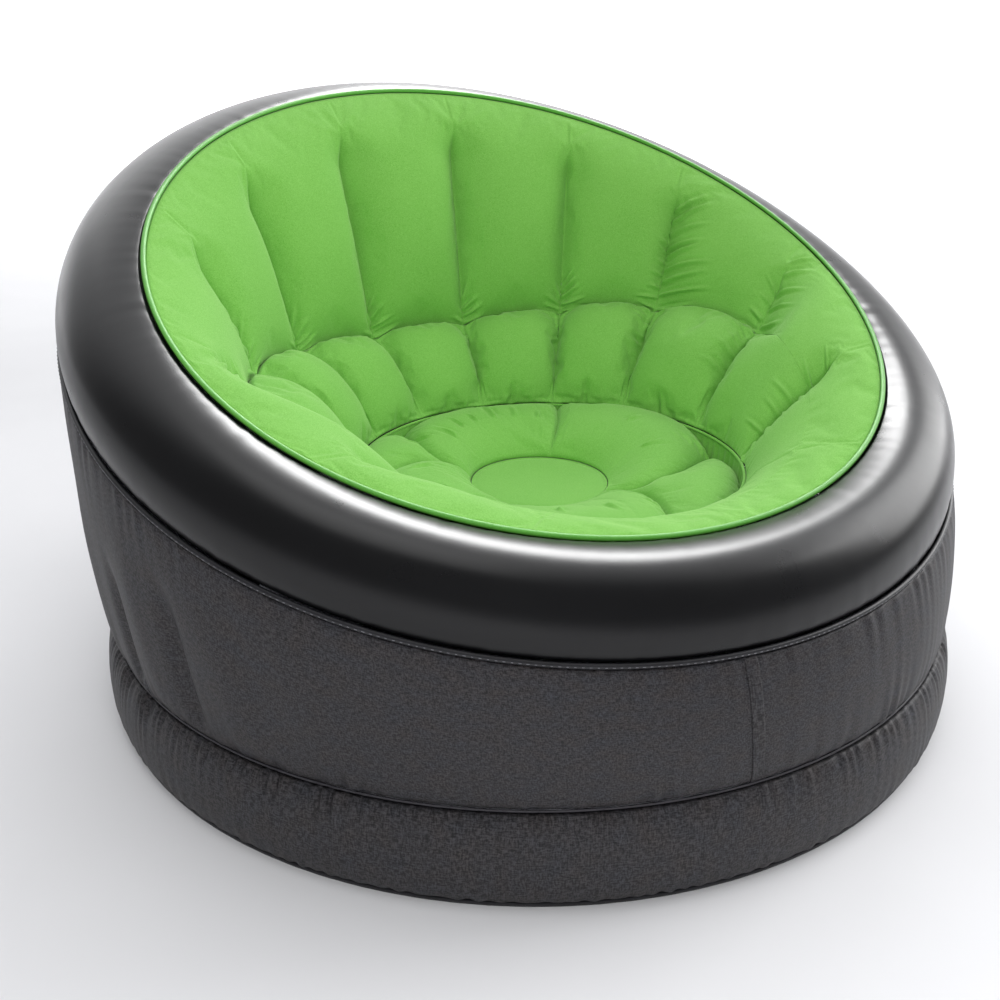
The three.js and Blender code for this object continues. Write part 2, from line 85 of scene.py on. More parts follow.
def seam_of(node):
    """The closed loop along the middle of a bead: how far it reaches and how high it lies, and the bead's half."""
    points = np.array([v.co for v in frame["nodes"][node].data.vertices])
    low, high = points.min(0), points.max(0)
    near = 1e-5
    side = points[points[:, 0] > high[0] - near, 2]
    rear = points[points[:, 1] > high[1] - near, 2]
    front = points[points[:, 1] < low[1] + near, 2]
    half = (side.max() - side.min()) / 2
    level = (rear.mean() + front.mean()) / 2
    return {
        "width": (high[0] - low[0]) / 2 - half,
        "depth": (high[1] - low[1]) / 2 - half,
        "middle": (high[1] + low[1]) / 2,
        "height": (side.mean() + level) / 2,
        "rise": (rear.mean() - front.mean()) / 2,
        "lift": (side.mean() - level) / 2,
        "half": half,
    }


def on_seam(seam, angle):
    """Points of a seam at angles round the chair, with the back at a quarter turn."""
    angle = np.asarray(angle, float)
    return np.stack([
        seam["width"] * np.cos(angle),
        seam["middle"] + seam["depth"] * np.sin(angle),
        seam["height"] + seam["rise"] * np.sin(angle) + seam["lift"] * np.cos(2 * angle),
    ], -1)


def unit(vectors):
    """Vectors of the same directions, one metre long."""
    return vectors / np.linalg.norm(vectors, axis=-1, keepdims=True)


def loop_angles(columns, first=0.0):
    """Even angles once round the chair."""
    return first + np.arange(columns) * TURN / columns


def mesh_of(name, points, capped=False):
    """A mesh from points[column][row] that close in a ring, with a UV map in metres round and along the sheet."""
    columns, rows = points.shape[:2]
    index = np.arange(columns * rows).reshape(columns, rows)
    step = np.roll(index, -1, 0)
    faces = np.stack([index[:, :-1], step[:, :-1], step[:, 1:], index[:, 1:]], -1).reshape(-1, 4).tolist()
    mesh = bpy.data.meshes.new(name)
    if capped:
        faces += [index[::-1, 0].tolist(), index[:, -1].tolist()]
    mesh.from_pydata(points.reshape(-1, 3).tolist(), [], faces)
    middle = points[:, rows // 2]
    lengths = np.linalg.norm(np.roll(middle, -1, 0) - middle, axis=1)
    round_at = np.concatenate([[0], np.cumsum(lengths)])
    slant = np.linalg.norm(np.diff(points, axis=1), axis=2).mean(0)
    along_at = np.concatenate([[0], np.cumsum(slant)])
    column = np.repeat(np.arange(columns), rows - 1)
    row = np.tile(np.arange(rows - 1), columns)
    corners = np.stack([
        np.stack([round_at[column], along_at[row]], -1),
        np.stack([round_at[column + 1], along_at[row]], -1),
        np.stack([round_at[column + 1], along_at[row + 1]], -1),
        np.stack([round_at[column], along_at[row + 1]], -1),
    ], 1).reshape(-1, 2)
    uv = mesh.uv_layers.new(name="sheet_metres")
    flat = np.zeros((len(uv.data), 2))
    flat[:len(corners)] = corners
    uv.data.foreach_set("uv", flat.ravel())
    mesh.shade_smooth()
    thing = bpy.data.objects.new(name, mesh)
    bpy.context.scene.collection.objects.link(thing)
    return thing


def out_of(seam, angle):
    """The level direction straight out of a seam at angles round the chair."""
    return unit(np.stack([seam["depth"] * np.cos(angle), seam["width"] * np.sin(angle), 0 * angle], -1))


def bead_points(seam, columns, radius_round, radius_up):
    """A round or flattened bead that follows a seam. Its section goes once round, and its last row is its first."""
    angle = loop_angles(columns)
    turn = np.linspace(0, TURN, BEAD_ROUND + 1)
    radius_round, radius_up = (np.broadcast_to(r, (columns,)) for r in (radius_round, radius_up))
    reach = radius_round[:, None] * np.cos(turn)
    points = on_seam(seam, angle)[:, None] + out_of(seam, angle)[:, None] * reach[..., None]
    points[..., 2] += radius_up[:, None] * np.sin(turn)
    return points


def tube_of(name, points):
    """A closed tube from a bead's points: the last row is welded to the first."""
    thing = mesh_of(name, points)
    welded = thing.modifiers.new("weld", "WELD")
    welded.merge_threshold = 1e-6
    return applied(thing)


def applied(thing):
    """The object with its modifiers made part of its mesh."""
    result = bpy.data.meshes.new_from_object(thing.evaluated_get(bpy.context.evaluated_depsgraph_get()))
    thing.modifiers.clear()
    old, thing.data = thing.data, result
    bpy.data.meshes.remove(old)
    return thing


def linear(hexadecimal):
    """An sRGB hex colour as the linear colour that a shader takes."""
    channels = [int(hexadecimal[i:i + 2], 16) / 255 for i in (1, 3, 5)]
    return (*[c / 12.92 if c <= 0.04045 else ((c + 0.055) / 1.055) ** 2.4 for c in channels], 1.0)


def add_node(tree, kind, settings=None, links=None):
    """Adds a node to a tree, sets its sockets or its own settings, and links other nodes' outputs to it."""
    node = tree.nodes.new(kind)
    for name, value in (settings or {}).items():
        if not isinstance(name, int) and hasattr(node, name):
            setattr(node, name, value)
        else:
            node.inputs[name].default_value = value
    for name, source in (links or {}).items():
        tree.links.new(source, node.inputs[name])
    return node


def new_material(name, settings):
    """A material with its surface shader set from the settings, its node tree and that shader."""
    material = bpy.data.materials.new(name)
    material.use_nodes = True
    shader = material.node_tree.nodes["Principled BSDF"]
    for socket, value in settings.items():
        shader.inputs[socket].default_value = value
    return material, material.node_tree, shader


def per_metre(millimetres):
    """A pattern's scale, from how far apart its features are."""
    return 1000 / millimetres


def welded_black_pvc():
    """Black vinyl fused by the weld bar: darker and duller than the sheet, with the bar's fine knurl across it."""
    material, tree, shader = new_material("welded_black_pvc", {"Roughness": 0.42, "IOR": 1.53})
    place = add_node(tree, "ShaderNodeTexCoord").outputs["Object"]
    grain = add_node(tree, "ShaderNodeTexNoise", {"Scale": per_metre(KNURL_MM), "Detail": 3.0}, {"Vector": place})
    wear = add_node(tree, "ShaderNodeTexNoise", {"Scale": per_metre(WEAR_MM), "Detail": 4.0}, {"Vector": place})
    colour = add_node(tree, "ShaderNodeMix", {"data_type": "RGBA", 6: linear("#0E0E10"), 7: linear("#26262A")},
                      {0: wear.outputs["Fac"]})
    tree.links.new(colour.outputs[2], shader.inputs["Base Color"])
    bump = add_node(tree, "ShaderNodeBump", {"Strength": 0.35, "Distance": 0.0006}, {"Height": grain.outputs["Fac"]})
    tree.links.new(bump.outputs["Normal"], shader.inputs["Normal"])
    return material


WELDED_BLACK_PVC = welded_black_pvc()
FLOOR = seam_of("floor_weld_bead")
between_nicks = (loop_angles(ROUND_COLUMNS) * FLOOR_NICKS / TURN) % 1 - 0.5
nicks = 1 - FLOOR_NICK_SHARE * np.exp(-(between_nicks / NICK_WIDTH_SHARE) ** 2)
floor_bead = tube_of("floor_weld", bead_points(FLOOR, ROUND_COLUMNS, FLOOR["half"] * nicks, FLOOR["half"]))
floor_bead.data.materials.append(WELDED_BLACK_PVC)
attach(floor_bead, "shell")
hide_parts("floor_weld_bead")

# Floor panel
# The flat bottom sheet, 0.6 mm black vinyl with a leather-like emboss that keeps it from sliding. The solid is right
# as it is.
PEBBLE_MM = 2.083
DUST_MM = 111.1


def embossed_black_pvc():
    """Calendered vinyl sheet with a pressed pebble grain about 2 mm across, so its gloss breaks up."""
    material, tree, shader = new_material("embossed_black_pvc", {"Roughness": 0.5, "IOR": 1.53})
    place = add_node(tree, "ShaderNodeTexCoord").outputs["Object"]
    pebbles = add_node(tree, "ShaderNodeTexVoronoi", {"Scale": per_metre(PEBBLE_MM)}, {"Vector": place})
    dust = add_node(tree, "ShaderNodeTexNoise", {"Scale": per_metre(DUST_MM), "Detail": 5.0}, {"Vector": place})
    colour = add_node(tree, "ShaderNodeMix", {"data_type": "RGBA", 6: linear("#151517"), 7: linear("#242426")},
                      {0: dust.outputs["Fac"]})
    tree.links.new(colour.outputs[2], shader.inputs["Base Color"])
    bump = add_node(tree, "ShaderNodeBump", {"Strength": 0.5, "Distance": 0.0005},
                    {"Height": pebbles.outputs["Distance"]})
    tree.links.new(bump.outputs["Normal"], shader.inputs["Normal"])
    return material


def finish_cad_node(node, material):
    """Gives a solid of the frame its real finish."""
    thing = frame["nodes"][node]
    thing.data.materials.clear()
    thing.data.materials.append(material)


finish_cad_node("floor_panel", embossed_black_pvc())

# Base side panel
# The low bulge under the waist, one strip of printed vinyl 0.6 mm thick. The air fills it tight, and the weld at each
# edge gathers it into fine upright puckers that die out within a few centimetres.
SHEET_COLUMNS = 1440
BASE_ROWS = 26
BASE_BULGE = 0.014
VINYL = 0.0006
GAP = 0.00035
BASE_PUCKER = 0.0013
PUCKER_REACH = 0.022
PUCKER_START = 0.002
PUCKER_COUNTS = range(90, 230, 9)
PUCKER_SEED = 11
# The waist's weld gathers the base into deeper pleats, most of all at the front left
PLEATED_SIDE = math.radians(-152)
PLEATED_SPREAD = math.radians(34)
PLEATED_ELSEWHERE_SHARE = 0.3
PLEAT_DEPTH = 0.0036
PLEAT_REACH = 0.019
PLEAT_COUNTS = range(210, 330, 12)
PLEAT_SEED = 13
THREAD_MM = 1.6667
SLUB_MM = 6.25
BLOTCH_MM = 29.41


def arch(share):
    """0 at both ends of a sheet and 1 half way."""
    return 4 * share * (1 - share)


def smooth(low, high, value):
    """0 below one value and 1 above another, with a soft step between them."""
    share = np.clip((value - low) / (high - low), 0, 1)
    return share * share * (3 - 2 * share)


def angle_from(angles, middle):
    """How far angles lie from another one, the short way round."""
    return (angles - middle + math.pi) % TURN - math.pi


def length_along(points):
    """How far each point of a grid lies from the start of its column, along the sheet."""
    steps = np.linalg.norm(np.diff(points, axis=1), axis=2)
    return np.concatenate([np.zeros((len(points), 1)), np.cumsum(steps, axis=1)], 1)


def shares(rows, tighter=0.6):
    """Row positions from 0 to 1, closer together at both ends."""
    even = np.linspace(0, 1, rows + 1)
    return even - tighter * np.sin(TURN * even) / TURN


def trimmed_run(first, last, bead_first, bead_last, share, bulge):
    """A sheet's face between two rings of points, clear of the beads there and pushed out by the air."""
    across = last - first
    length = np.linalg.norm(across, axis=-1, keepdims=True)
    direction = across / length
    around = np.roll(first, -1, 0) - np.roll(first, 1, 0)
    outward = unit(np.cross(around, across))
    steep = np.maximum(np.abs(direction[:, 2]), np.hypot(direction[:, 0], direction[:, 1]))[:, None]
    begin, stop = (bead_first + GAP) / steep, length - (bead_last + GAP) / steep
    places = first[:, None] + direction[:, None] * (begin + (stop - begin) * share)[..., None]
    return places + outward[:, None] * np.broadcast_to(bulge(length, share), places.shape[:2])[..., None]


def normals_of(points):
    """The outward normal at each point of a closed grid."""
    around = np.roll(points, -1, 0) - np.roll(points, 1, 0)
    along = np.gradient(points, axis=1)
    return unit(np.cross(around, along))


def waves(angle, seed, counts):
    """A smooth random profile round a loop, between about -1 and 1, with the given wave counts per turn."""
    draw = np.random.default_rng(seed)
    total = sum(draw.uniform(0.4, 1) * np.sin(n * angle + draw.uniform(0, TURN)) for n in counts)
    return total / math.sqrt(len(counts))


def puckered(points, seed, height, reach, counts, first_share=1.0):
    """The sheet with fine gathers that start at its two welded edges and fade within a reach.

    The share says how strong the gathers are at the sheet's first edge.
    """
    from_first = length_along(points)
    angle = loop_angles(len(points))
    relief = np.zeros(from_first.shape)
    for side, share, away in ((0, first_share, from_first), (1, 1.0, from_first[:, -1:] - from_first)):
        gathers = waves(angle, seed + side, counts)[:, None]
        relief = relief + share * gathers * np.exp(-away / reach) * (1 - np.exp(-away / PUCKER_START))
    return points + normals_of(points) * (height * relief)[..., None]


def thick_sheet(thing, thickness):
    """Gives a sheet its thickness on the side of the air."""
    wall = thing.modifiers.new("thickness", "SOLIDIFY")
    wall.thickness = thickness
    wall.offset = -1
    return applied(thing)


def heather_print_pvc():
    """Matt vinyl printed with a woven heather: crossing dark and light threads, with faint red and blue patches.

    The threads run round the chair and up it, by the sheet's own UV map. They are 1.7 mm apart and their thick parts
    6 mm long, which is coarser than the real print, so that the weave shows.
    """
    material, tree, shader = new_material("heather_print_pvc", {
        "Roughness": 0.56, "IOR": 1.52, "Specular IOR Level": 0.4,
    })
    place = add_node(tree, "ShaderNodeUVMap", {"uv_map": "sheet_metres"}).outputs["UV"]
    threads = []
    for sizes in ((THREAD_MM, SLUB_MM), (SLUB_MM, THREAD_MM)):
        stretched = add_node(tree, "ShaderNodeMapping", {"Scale": (*map(per_metre, sizes), 1.0)}, {"Vector": place})
        threads.append(add_node(tree, "ShaderNodeTexNoise", {"Scale": 1.0, "Detail": 3.0, "Roughness": 0.7},
                                {"Vector": stretched.outputs["Vector"]}))
    weave = add_node(tree, "ShaderNodeMath", {"operation": "ADD"},
                     {0: threads[0].outputs["Fac"], 1: threads[1].outputs["Fac"]})
    contrast = add_node(tree, "ShaderNodeMapRange", {"From Min": 0.88, "From Max": 1.13}, {"Value": weave.outputs[0]})
    blotch = add_node(tree, "ShaderNodeTexNoise", {"Scale": per_metre(BLOTCH_MM), "Detail": 3.0}, {"Vector": place})
    patch = add_node(tree, "ShaderNodeMapRange", {"From Min": 0.25, "From Max": 0.75},
                     {"Value": blotch.outputs["Fac"]})
    dark = add_node(tree, "ShaderNodeMix", {"data_type": "RGBA", 6: linear("#110F0E"), 7: linear("#0E0F12")},
                    {0: patch.outputs["Result"]})
    light = add_node(tree, "ShaderNodeMix", {"data_type": "RGBA", 6: linear("#403B3B"), 7: linear("#3A3B41")},
                     {0: patch.outputs["Result"]})
    colour = add_node(tree, "ShaderNodeMix", {"data_type": "RGBA"},
                      {0: contrast.outputs["Result"], 6: dark.outputs[2], 7: light.outputs[2]})
    tree.links.new(colour.outputs[2], shader.inputs["Base Color"])
    bump = add_node(tree, "ShaderNodeBump", {"Strength": 0.25, "Distance": 0.0003}, {"Height": weave.outputs[0]})
    tree.links.new(bump.outputs["Normal"], shader.inputs["Normal"])
    return material


HEATHER_PRINT_PVC = heather_print_pvc()
WAIST = seam_of("waist_weld_bead")
LAP_ANGLE = math.radians(-99)
sheet_angles = loop_angles(SHEET_COLUMNS, LAP_ANGLE)
base_points = trimmed_run(on_seam(FLOOR, sheet_angles), on_seam(WAIST, sheet_angles), FLOOR["half"], WAIST["half"],
                          shares(BASE_ROWS)[None], lambda length, share: BASE_BULGE * np.sqrt(arch(share)))
base_points = puckered(base_points, PUCKER_SEED, BASE_PUCKER, PUCKER_REACH, PUCKER_COUNTS)
pleated = np.exp(-(angle_from(sheet_angles, PLEATED_SIDE) / PLEATED_SPREAD) ** 2)[:, None]
base_points = puckered(base_points, PLEAT_SEED, PLEAT_DEPTH * (PLEATED_ELSEWHERE_SHARE + pleated), PLEAT_REACH,
                       PLEAT_COUNTS, first_share=0)
base_panel = thick_sheet(mesh_of("base_side_sheet", base_points), VINYL)
base_panel.data.materials.append(HEATHER_PRINT_PVC)
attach(base_panel, "shell")
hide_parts("base_side_panel")

# Waist weld bead
# The seam between the base and the side wall, a flat fused edge 4 mm high. The printed sheets on both sides pucker
# against it.
WAIST_FLATTEN_SHARE = 0.8
WAIST_SUNK_SHARE = 0.5
PRESSED_THREAD_MM = 2.632


def welded_heather_pvc():
    """Printed vinyl fused by the weld bar: the print is pressed darker and smoother than on the sheets."""
    material, tree, shader = new_material("welded_heather_pvc", {"Roughness": 0.45, "IOR": 1.53})
    place = add_node(tree, "ShaderNodeTexCoord").outputs["Object"]
    threads = add_node(tree, "ShaderNodeTexNoise", {"Scale": per_metre(PRESSED_THREAD_MM), "Detail": 3.0},
                       {"Vector": place})
    colour = add_node(tree, "ShaderNodeMix", {"data_type": "RGBA", 6: linear("#1B1A1D"), 7: linear("#3C3A40")},
                      {0: threads.outputs["Fac"]})
    tree.links.new(colour.outputs[2], shader.inputs["Base Color"])
    bump = add_node(tree, "ShaderNodeBump", {"Strength": 0.3, "Distance": 0.0004}, {"Height": threads.outputs["Fac"]})
    tree.links.new(bump.outputs["Normal"], shader.inputs["Normal"])
    return material


WELDED_HEATHER_PVC = welded_heather_pvc()
waist_bead = tube_of("waist_weld", bead_points(WAIST, ROUND_COLUMNS, WAIST["half"] * WAIST_SUNK_SHARE,
                                               WAIST["half"] * WAIST_FLATTEN_SHARE))
waist_bead.data.materials.append(WELDED_HEATHER_PVC)
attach(waist_bead, "shell")
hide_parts("waist_weld_bead")

# Body side panel
# The tall side wall, one printed sheet from the waist to the top band. It hangs a little slack between its welds, so
# it shows soft upright folds at the left and short pleats under the band's weld and above the waist.
BODY_ROWS = 30
BODY_BULGE = 0.010
BODY_ROUND_POWER = 0.6
BODY_PUCKER = 0.0013
BODY_REACH = 0.026
BODY_COUNTS = range(60, 210, 11)
BODY_WAIST_SHARE = 1.3
BODY_SEED = 21
FOLD_SLANT = 0.8
FOLD_CLEAR_SHARE = 0.08
# Each soft fold: its angle round the chair, its width, how far up the wall its middle is, its length and its depth
SOFT_FOLDS = (
    (math.radians(-163.5), 0.014, 0.32, 0.36, -0.0110),
    (math.radians(-156), 0.036, 0.36, 0.40, 0.0042),
    (math.radians(-170), 0.030, 0.34, 0.40, 0.0046),
    (math.radians(-176.6), 0.014, 0.24, 0.28, -0.0080),
    (math.radians(173), 0.030, 0.28, 0.34, 0.0040),
    (math.radians(-146), 0.034, 0.55, 0.30, 0.0026),
    (math.radians(-112), 0.050, 0.35, 0.30, 0.0016),
    (math.radians(-70), 0.050, 0.45, 0.30, 0.0018),
    (math.radians(-41), 0.034, 0.50, 0.34, 0.0026),
    (math.radians(-34), 0.016, 0.40, 0.30, -0.0040),
    (math.radians(32), 0.040, 0.40, 0.36, 0.0036),
    (math.radians(40), 0.017, 0.36, 0.34, -0.0050),
    (math.radians(104), 0.040, 0.55, 0.36, 0.0034),
    (math.radians(141), 0.018, 0.44, 0.34, -0.0048),
    (math.radians(150), 0.034, 0.48, 0.30, 0.0030),
)
PIPING = seam_of("band_piping")
wall_shares = shares(BODY_ROWS)[None]
body_points = trimmed_run(on_seam(WAIST, sheet_angles), on_seam(PIPING, sheet_angles), WAIST["half"],
                          PIPING["half"], wall_shares,
                          lambda length, share: BODY_BULGE * arch(share) ** BODY_ROUND_POWER)
body_points = puckered(body_points, BODY_SEED, BODY_PUCKER, BODY_REACH, BODY_COUNTS, first_share=BODY_WAIST_SHARE)
relief = np.zeros(body_points.shape[:2])
for fold_angle, fold_width, fold_place, fold_length, fold_depth in SOFT_FOLDS:
    away = angle_from(sheet_angles, fold_angle)[:, None] * WAIST["width"]
    sideways = away / fold_width + FOLD_SLANT * (wall_shares - fold_place)
    relief += fold_depth * np.exp(-sideways ** 2) * np.exp(-((wall_shares - fold_place) / fold_length) ** 4)
relief *= smooth(0, FOLD_CLEAR_SHARE, wall_shares) * smooth(0, FOLD_CLEAR_SHARE, 1 - wall_shares)
body_points = body_points + normals_of(body_points) * relief[..., None]

# Air valve
# A two-stage valve moulded in soft vinyl, low on the back of the side wall: a collar welded through the sheet, a
# wide plug for letting the air out, a small cap on the pump's port, and a clear flap that shuts the port from inside.
VALVE_SIDES = 96
# Lengths in the valve's own frame: +Z points out of the chair, +Y up the wall, and zero is the middle of the hole
PLUG_HINGE = Vector((0, 0.024, 0.00345))
CAP_HINGE = Vector((0, -0.011, 0.0058))
FLAP_HINGE = Vector((0, 0.008, -0.00625))
GRAIN_MM = 0.5556
SCUFF_MM = 11.11
FROST_MM = 1.429
joint_at = {joint["name"]: Vector(joint["pos_m"]) for joint in frame["joints"]}
plug_place, cap_place, flap_place = (joint_at[name] for name in ("plug_strap_bend", "cap_strap_bend", "flap_bend"))
local = np.array([(PLUG_HINGE - CAP_HINGE)[1:], (PLUG_HINGE - FLAP_HINGE)[1:]])
placed = np.array([plug_place - cap_place, plug_place - flap_place])
valve_axes = unit(np.linalg.solve(local, placed))
valve_up, valve_out = valve_axes
valve_frame = np.array([np.cross(valve_up, valve_out), valve_up, valve_out])
valve_middle = np.array(plug_place) - valve_up * PLUG_HINGE[1] - valve_out * PLUG_HINGE[2]

# The side wall lies flat on the valve's flange and swells again round it. The valve's axis also passes through the
# front of the chair, which stays as it is.
SHEET_ON_FLANGE = -0.0007
FLANGE_FLAT = 0.027
FLANGE_REACH = 0.085
from_valve = body_points - valve_middle
above_flange = from_valve @ valve_out
from_axis = np.linalg.norm(from_valve - above_flange[..., None] * valve_out, axis=-1)
from_axis = np.where(np.abs(above_flange) < FLANGE_REACH, from_axis, FLANGE_REACH)
flattened = (1 - smooth(FLANGE_FLAT, FLANGE_REACH, from_axis)) * (SHEET_ON_FLANGE - above_flange)
body_points = body_points + flattened[..., None] * valve_out
body_panel = thick_sheet(mesh_of("body_side_sheet", body_points), VINYL)
body_panel.data.materials.append(HEATHER_PRINT_PVC)
CORNER_RADIUS = 0.0004
CORNER_STEPS = 3
BAR_BEVEL = 0.0003
DISC_BEVEL = 0.0001
BEVELLED_FROM = math.radians(50)


def turned_points(outline):
    """The points of a closed [radius, height] outline turned about the valve's axis."""
    outline = np.array(outline)
    angle = loop_angles(VALVE_SIDES)[:, None]
    radius, height = outline[:, 0], outline[:, 1] + 0 * angle
    return np.stack([radius * np.cos(angle), radius * np.sin(angle), height], -1)


def rounded(corners):
    """An outline with each corner cut round, by a curve that takes less than half of either side."""
    corners = np.array(corners, float)
    before, after = np.roll(corners, 1, 0) - corners, np.roll(corners, -1, 0) - corners
    result = []
    for corner, one, other in zip(corners, before, after):
        reach = min(CORNER_RADIUS, 0.45 * np.linalg.norm(one), 0.45 * np.linalg.norm(other))
        start, end = corner + reach * unit(one), corner + reach * unit(other)
        for step in range(CORNER_STEPS + 1):
            share = step / CORNER_STEPS
            result.append((1 - share) ** 2 * start + 2 * share * (1 - share) * corner + share ** 2 * end)
    return result


def add_turned(mesh, corners):
    """Adds a ring, or a disc where its outline starts and ends on the axis, to a list of points and faces."""
    points, faces = mesh
    grid = turned_points(rounded(corners))
    columns, rows = grid.shape[:2]
    base = len(points)
    points.extend(grid.reshape(-1, 3).tolist())
    for column in range(columns):
        for row in range(rows):
            corners_at = ((column, row), (column + 1, row), (column + 1, row + 1), (column, row + 1))
            faces.append([base + (c % columns) * rows + r % rows for c, r in corners_at])


def add_bar(mesh, width, low_y, high_y, low_z, high_z):
    """Adds a strap or a lug, a bar across the valve, to a list of points and faces."""
    points, faces = mesh
    base = len(points)
    for x in (-width / 2, width / 2):
        points.extend([[x, low_y, low_z], [x, high_y, low_z], [x, high_y, high_z], [x, low_y, high_z]])
    for face in ((0, 3, 2, 1), (4, 5, 6, 7), (0, 1, 5, 4), (1, 2, 6, 5), (2, 3, 7, 6), (3, 0, 4, 7)):
        faces.append([base + corner for corner in face])


def valve_piece(name, mesh, material, bevel=BAR_BEVEL):
    """A piece of the valve, brought from the valve's own frame into the chair's."""
    points, faces = mesh
    data = bpy.data.meshes.new(name)
    data.from_pydata((valve_middle + np.array(points) @ valve_frame).tolist(), [], faces)
    thing = bpy.data.objects.new(name, data)
    bpy.context.scene.collection.objects.link(thing)
    edges = thing.modifiers.new("soft_edges", "BEVEL")
    edges.width = bevel
    edges.segments = 2
    edges.limit_method = "ANGLE"
    edges.angle_limit = BEVELLED_FROM
    thing = applied(thing)
    thing.data.shade_smooth()
    thing.data.materials.append(material)
    return thing


def moulded_soft_pvc():
    """Soft vinyl from a mould, nearly black: satin, with a faint spark-eroded grain about half a millimetre across."""
    material, tree, shader = new_material("moulded_soft_pvc", {"Roughness": 0.38, "IOR": 1.53})
    place = add_node(tree, "ShaderNodeTexCoord").outputs["Object"]
    grain = add_node(tree, "ShaderNodeTexNoise", {"Scale": per_metre(GRAIN_MM), "Detail": 2.0}, {"Vector": place})
    scuff = add_node(tree, "ShaderNodeTexNoise", {"Scale": per_metre(SCUFF_MM), "Detail": 4.0}, {"Vector": place})
    colour = add_node(tree, "ShaderNodeMix", {"data_type": "RGBA", 6: linear("#1B1B1E"), 7: linear("#2C2C30")},
                      {0: scuff.outputs["Fac"]})
    tree.links.new(colour.outputs[2], shader.inputs["Base Color"])
    bump = add_node(tree, "ShaderNodeBump", {"Strength": 0.25, "Distance": 0.0002}, {"Height": grain.outputs["Fac"]})
    tree.links.new(bump.outputs["Normal"], shader.inputs["Normal"])
    return material


def clear_flap_pvc():
    """Thin clear vinyl, slightly frosted from handling."""
    material, tree, shader = new_material("clear_flap_pvc", {
        "Roughness": 0.25, "IOR": 1.53, "Transmission Weight": 0.6,
    })
    place = add_node(tree, "ShaderNodeTexCoord").outputs["Object"]
    frost = add_node(tree, "ShaderNodeTexNoise", {"Scale": per_metre(FROST_MM), "Detail": 3.0}, {"Vector": place})
    colour = add_node(tree, "ShaderNodeMix", {"data_type": "RGBA", 6: linear("#D5D8DC"), 7: linear("#E8EAEC")},
                      {0: frost.outputs["Fac"]})
    tree.links.new(colour.outputs[2], shader.inputs["Base Color"])
    bump = add_node(tree, "ShaderNodeBump", {"Strength": 0.15, "Distance": 0.0002}, {"Height": frost.outputs["Fac"]})
    tree.links.new(bump.outputs["Normal"], shader.inputs["Normal"])
    return material


MOULDED_SOFT_PVC = moulded_soft_pvc()
STRAP_WIDTH = 0.010
SMALL_STRAP_WIDTH = 0.006
STRAP = 0.0012
HINGE_PLAY = 0.0014
TONGUE_SHORT = 0.00015
AXIS_RADIUS = 0.0001
BORE_RADIUS = 0.016
NECK_RADIUS = 0.018
NECK_END = -0.013
FLANGE_RADIUS = 0.026
FLANGE_BACK = -0.0029
FLANGE_FRONT = -0.0013
COLLAR_RADIUS = 0.0195
COLLAR_TOP = 0.0025
LUG_START = 0.0175
LUG_END = 0.0294
STRAP_LOW = 0.00285

collar_mesh = ([], [])
add_turned(collar_mesh, [
    (BORE_RADIUS, NECK_END), (NECK_RADIUS, NECK_END), (NECK_RADIUS, FLANGE_BACK), (FLANGE_RADIUS, FLANGE_BACK),
    (FLANGE_RADIUS, FLANGE_FRONT), (COLLAR_RADIUS, FLANGE_FRONT), (COLLAR_RADIUS, COLLAR_TOP),
    (BORE_RADIUS, COLLAR_TOP),
])
add_bar(collar_mesh, STRAP_WIDTH, LUG_START, LUG_END, COLLAR_TOP - STRAP, COLLAR_TOP)
add_bar(collar_mesh, STRAP_WIDTH, PLUG_HINGE[1] + HINGE_PLAY, LUG_END, COLLAR_TOP - STRAP, STRAP_LOW + STRAP)
collar = valve_piece("valve_collar", collar_mesh, MOULDED_SOFT_PVC)
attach(collar, "shell")
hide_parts("valve_body")

# The plug: tapered, with a raised rim and a shallow ring pressed into its face, its strap out to the hinge, and lugs
# for the cap's strap and the flap
PORT_RADIUS = 0.006
PLUG_TIP_RADIUS = 0.0142
PLUG_RADIUS = 0.0154
PLUG_RIM_RADIUS = 0.020
PLUG_TIP = -0.0055
PLUG_FACE = 0.00485
FACE_RING = 0.0004
CAP_LOW = 0.0052
FLAP_BACK = -0.00665
FLAP_FRONT = -0.00585
plug_mesh = ([], [])
add_turned(plug_mesh, [
    (PORT_RADIUS, PLUG_TIP), (PLUG_TIP_RADIUS, PLUG_TIP), (PLUG_RADIUS, COLLAR_TOP), (PLUG_RADIUS, STRAP_LOW),
    (PLUG_RIM_RADIUS, STRAP_LOW), (PLUG_RIM_RADIUS, PLUG_FACE), (0.0175, PLUG_FACE), (0.0171, PLUG_FACE - FACE_RING),
    (0.0125, PLUG_FACE - FACE_RING), (0.0121, PLUG_FACE), (PORT_RADIUS, PLUG_FACE),
])
add_bar(plug_mesh, STRAP_WIDTH, 0.0185, PLUG_HINGE[1] - TONGUE_SHORT, STRAP_LOW, STRAP_LOW + STRAP)
add_bar(plug_mesh, SMALL_STRAP_WIDTH, -0.0154, CAP_HINGE[1] - HINGE_PLAY, PLUG_FACE - STRAP, CAP_LOW + STRAP)
add_bar(plug_mesh, SMALL_STRAP_WIDTH, FLAP_HINGE[1] + HINGE_PLAY, 0.0124, FLAP_BACK, -0.0043)
plug = valve_piece("deflation_plug_moulding", plug_mesh, MOULDED_SOFT_PVC)
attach(plug, "plug")
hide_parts("deflation_plug")

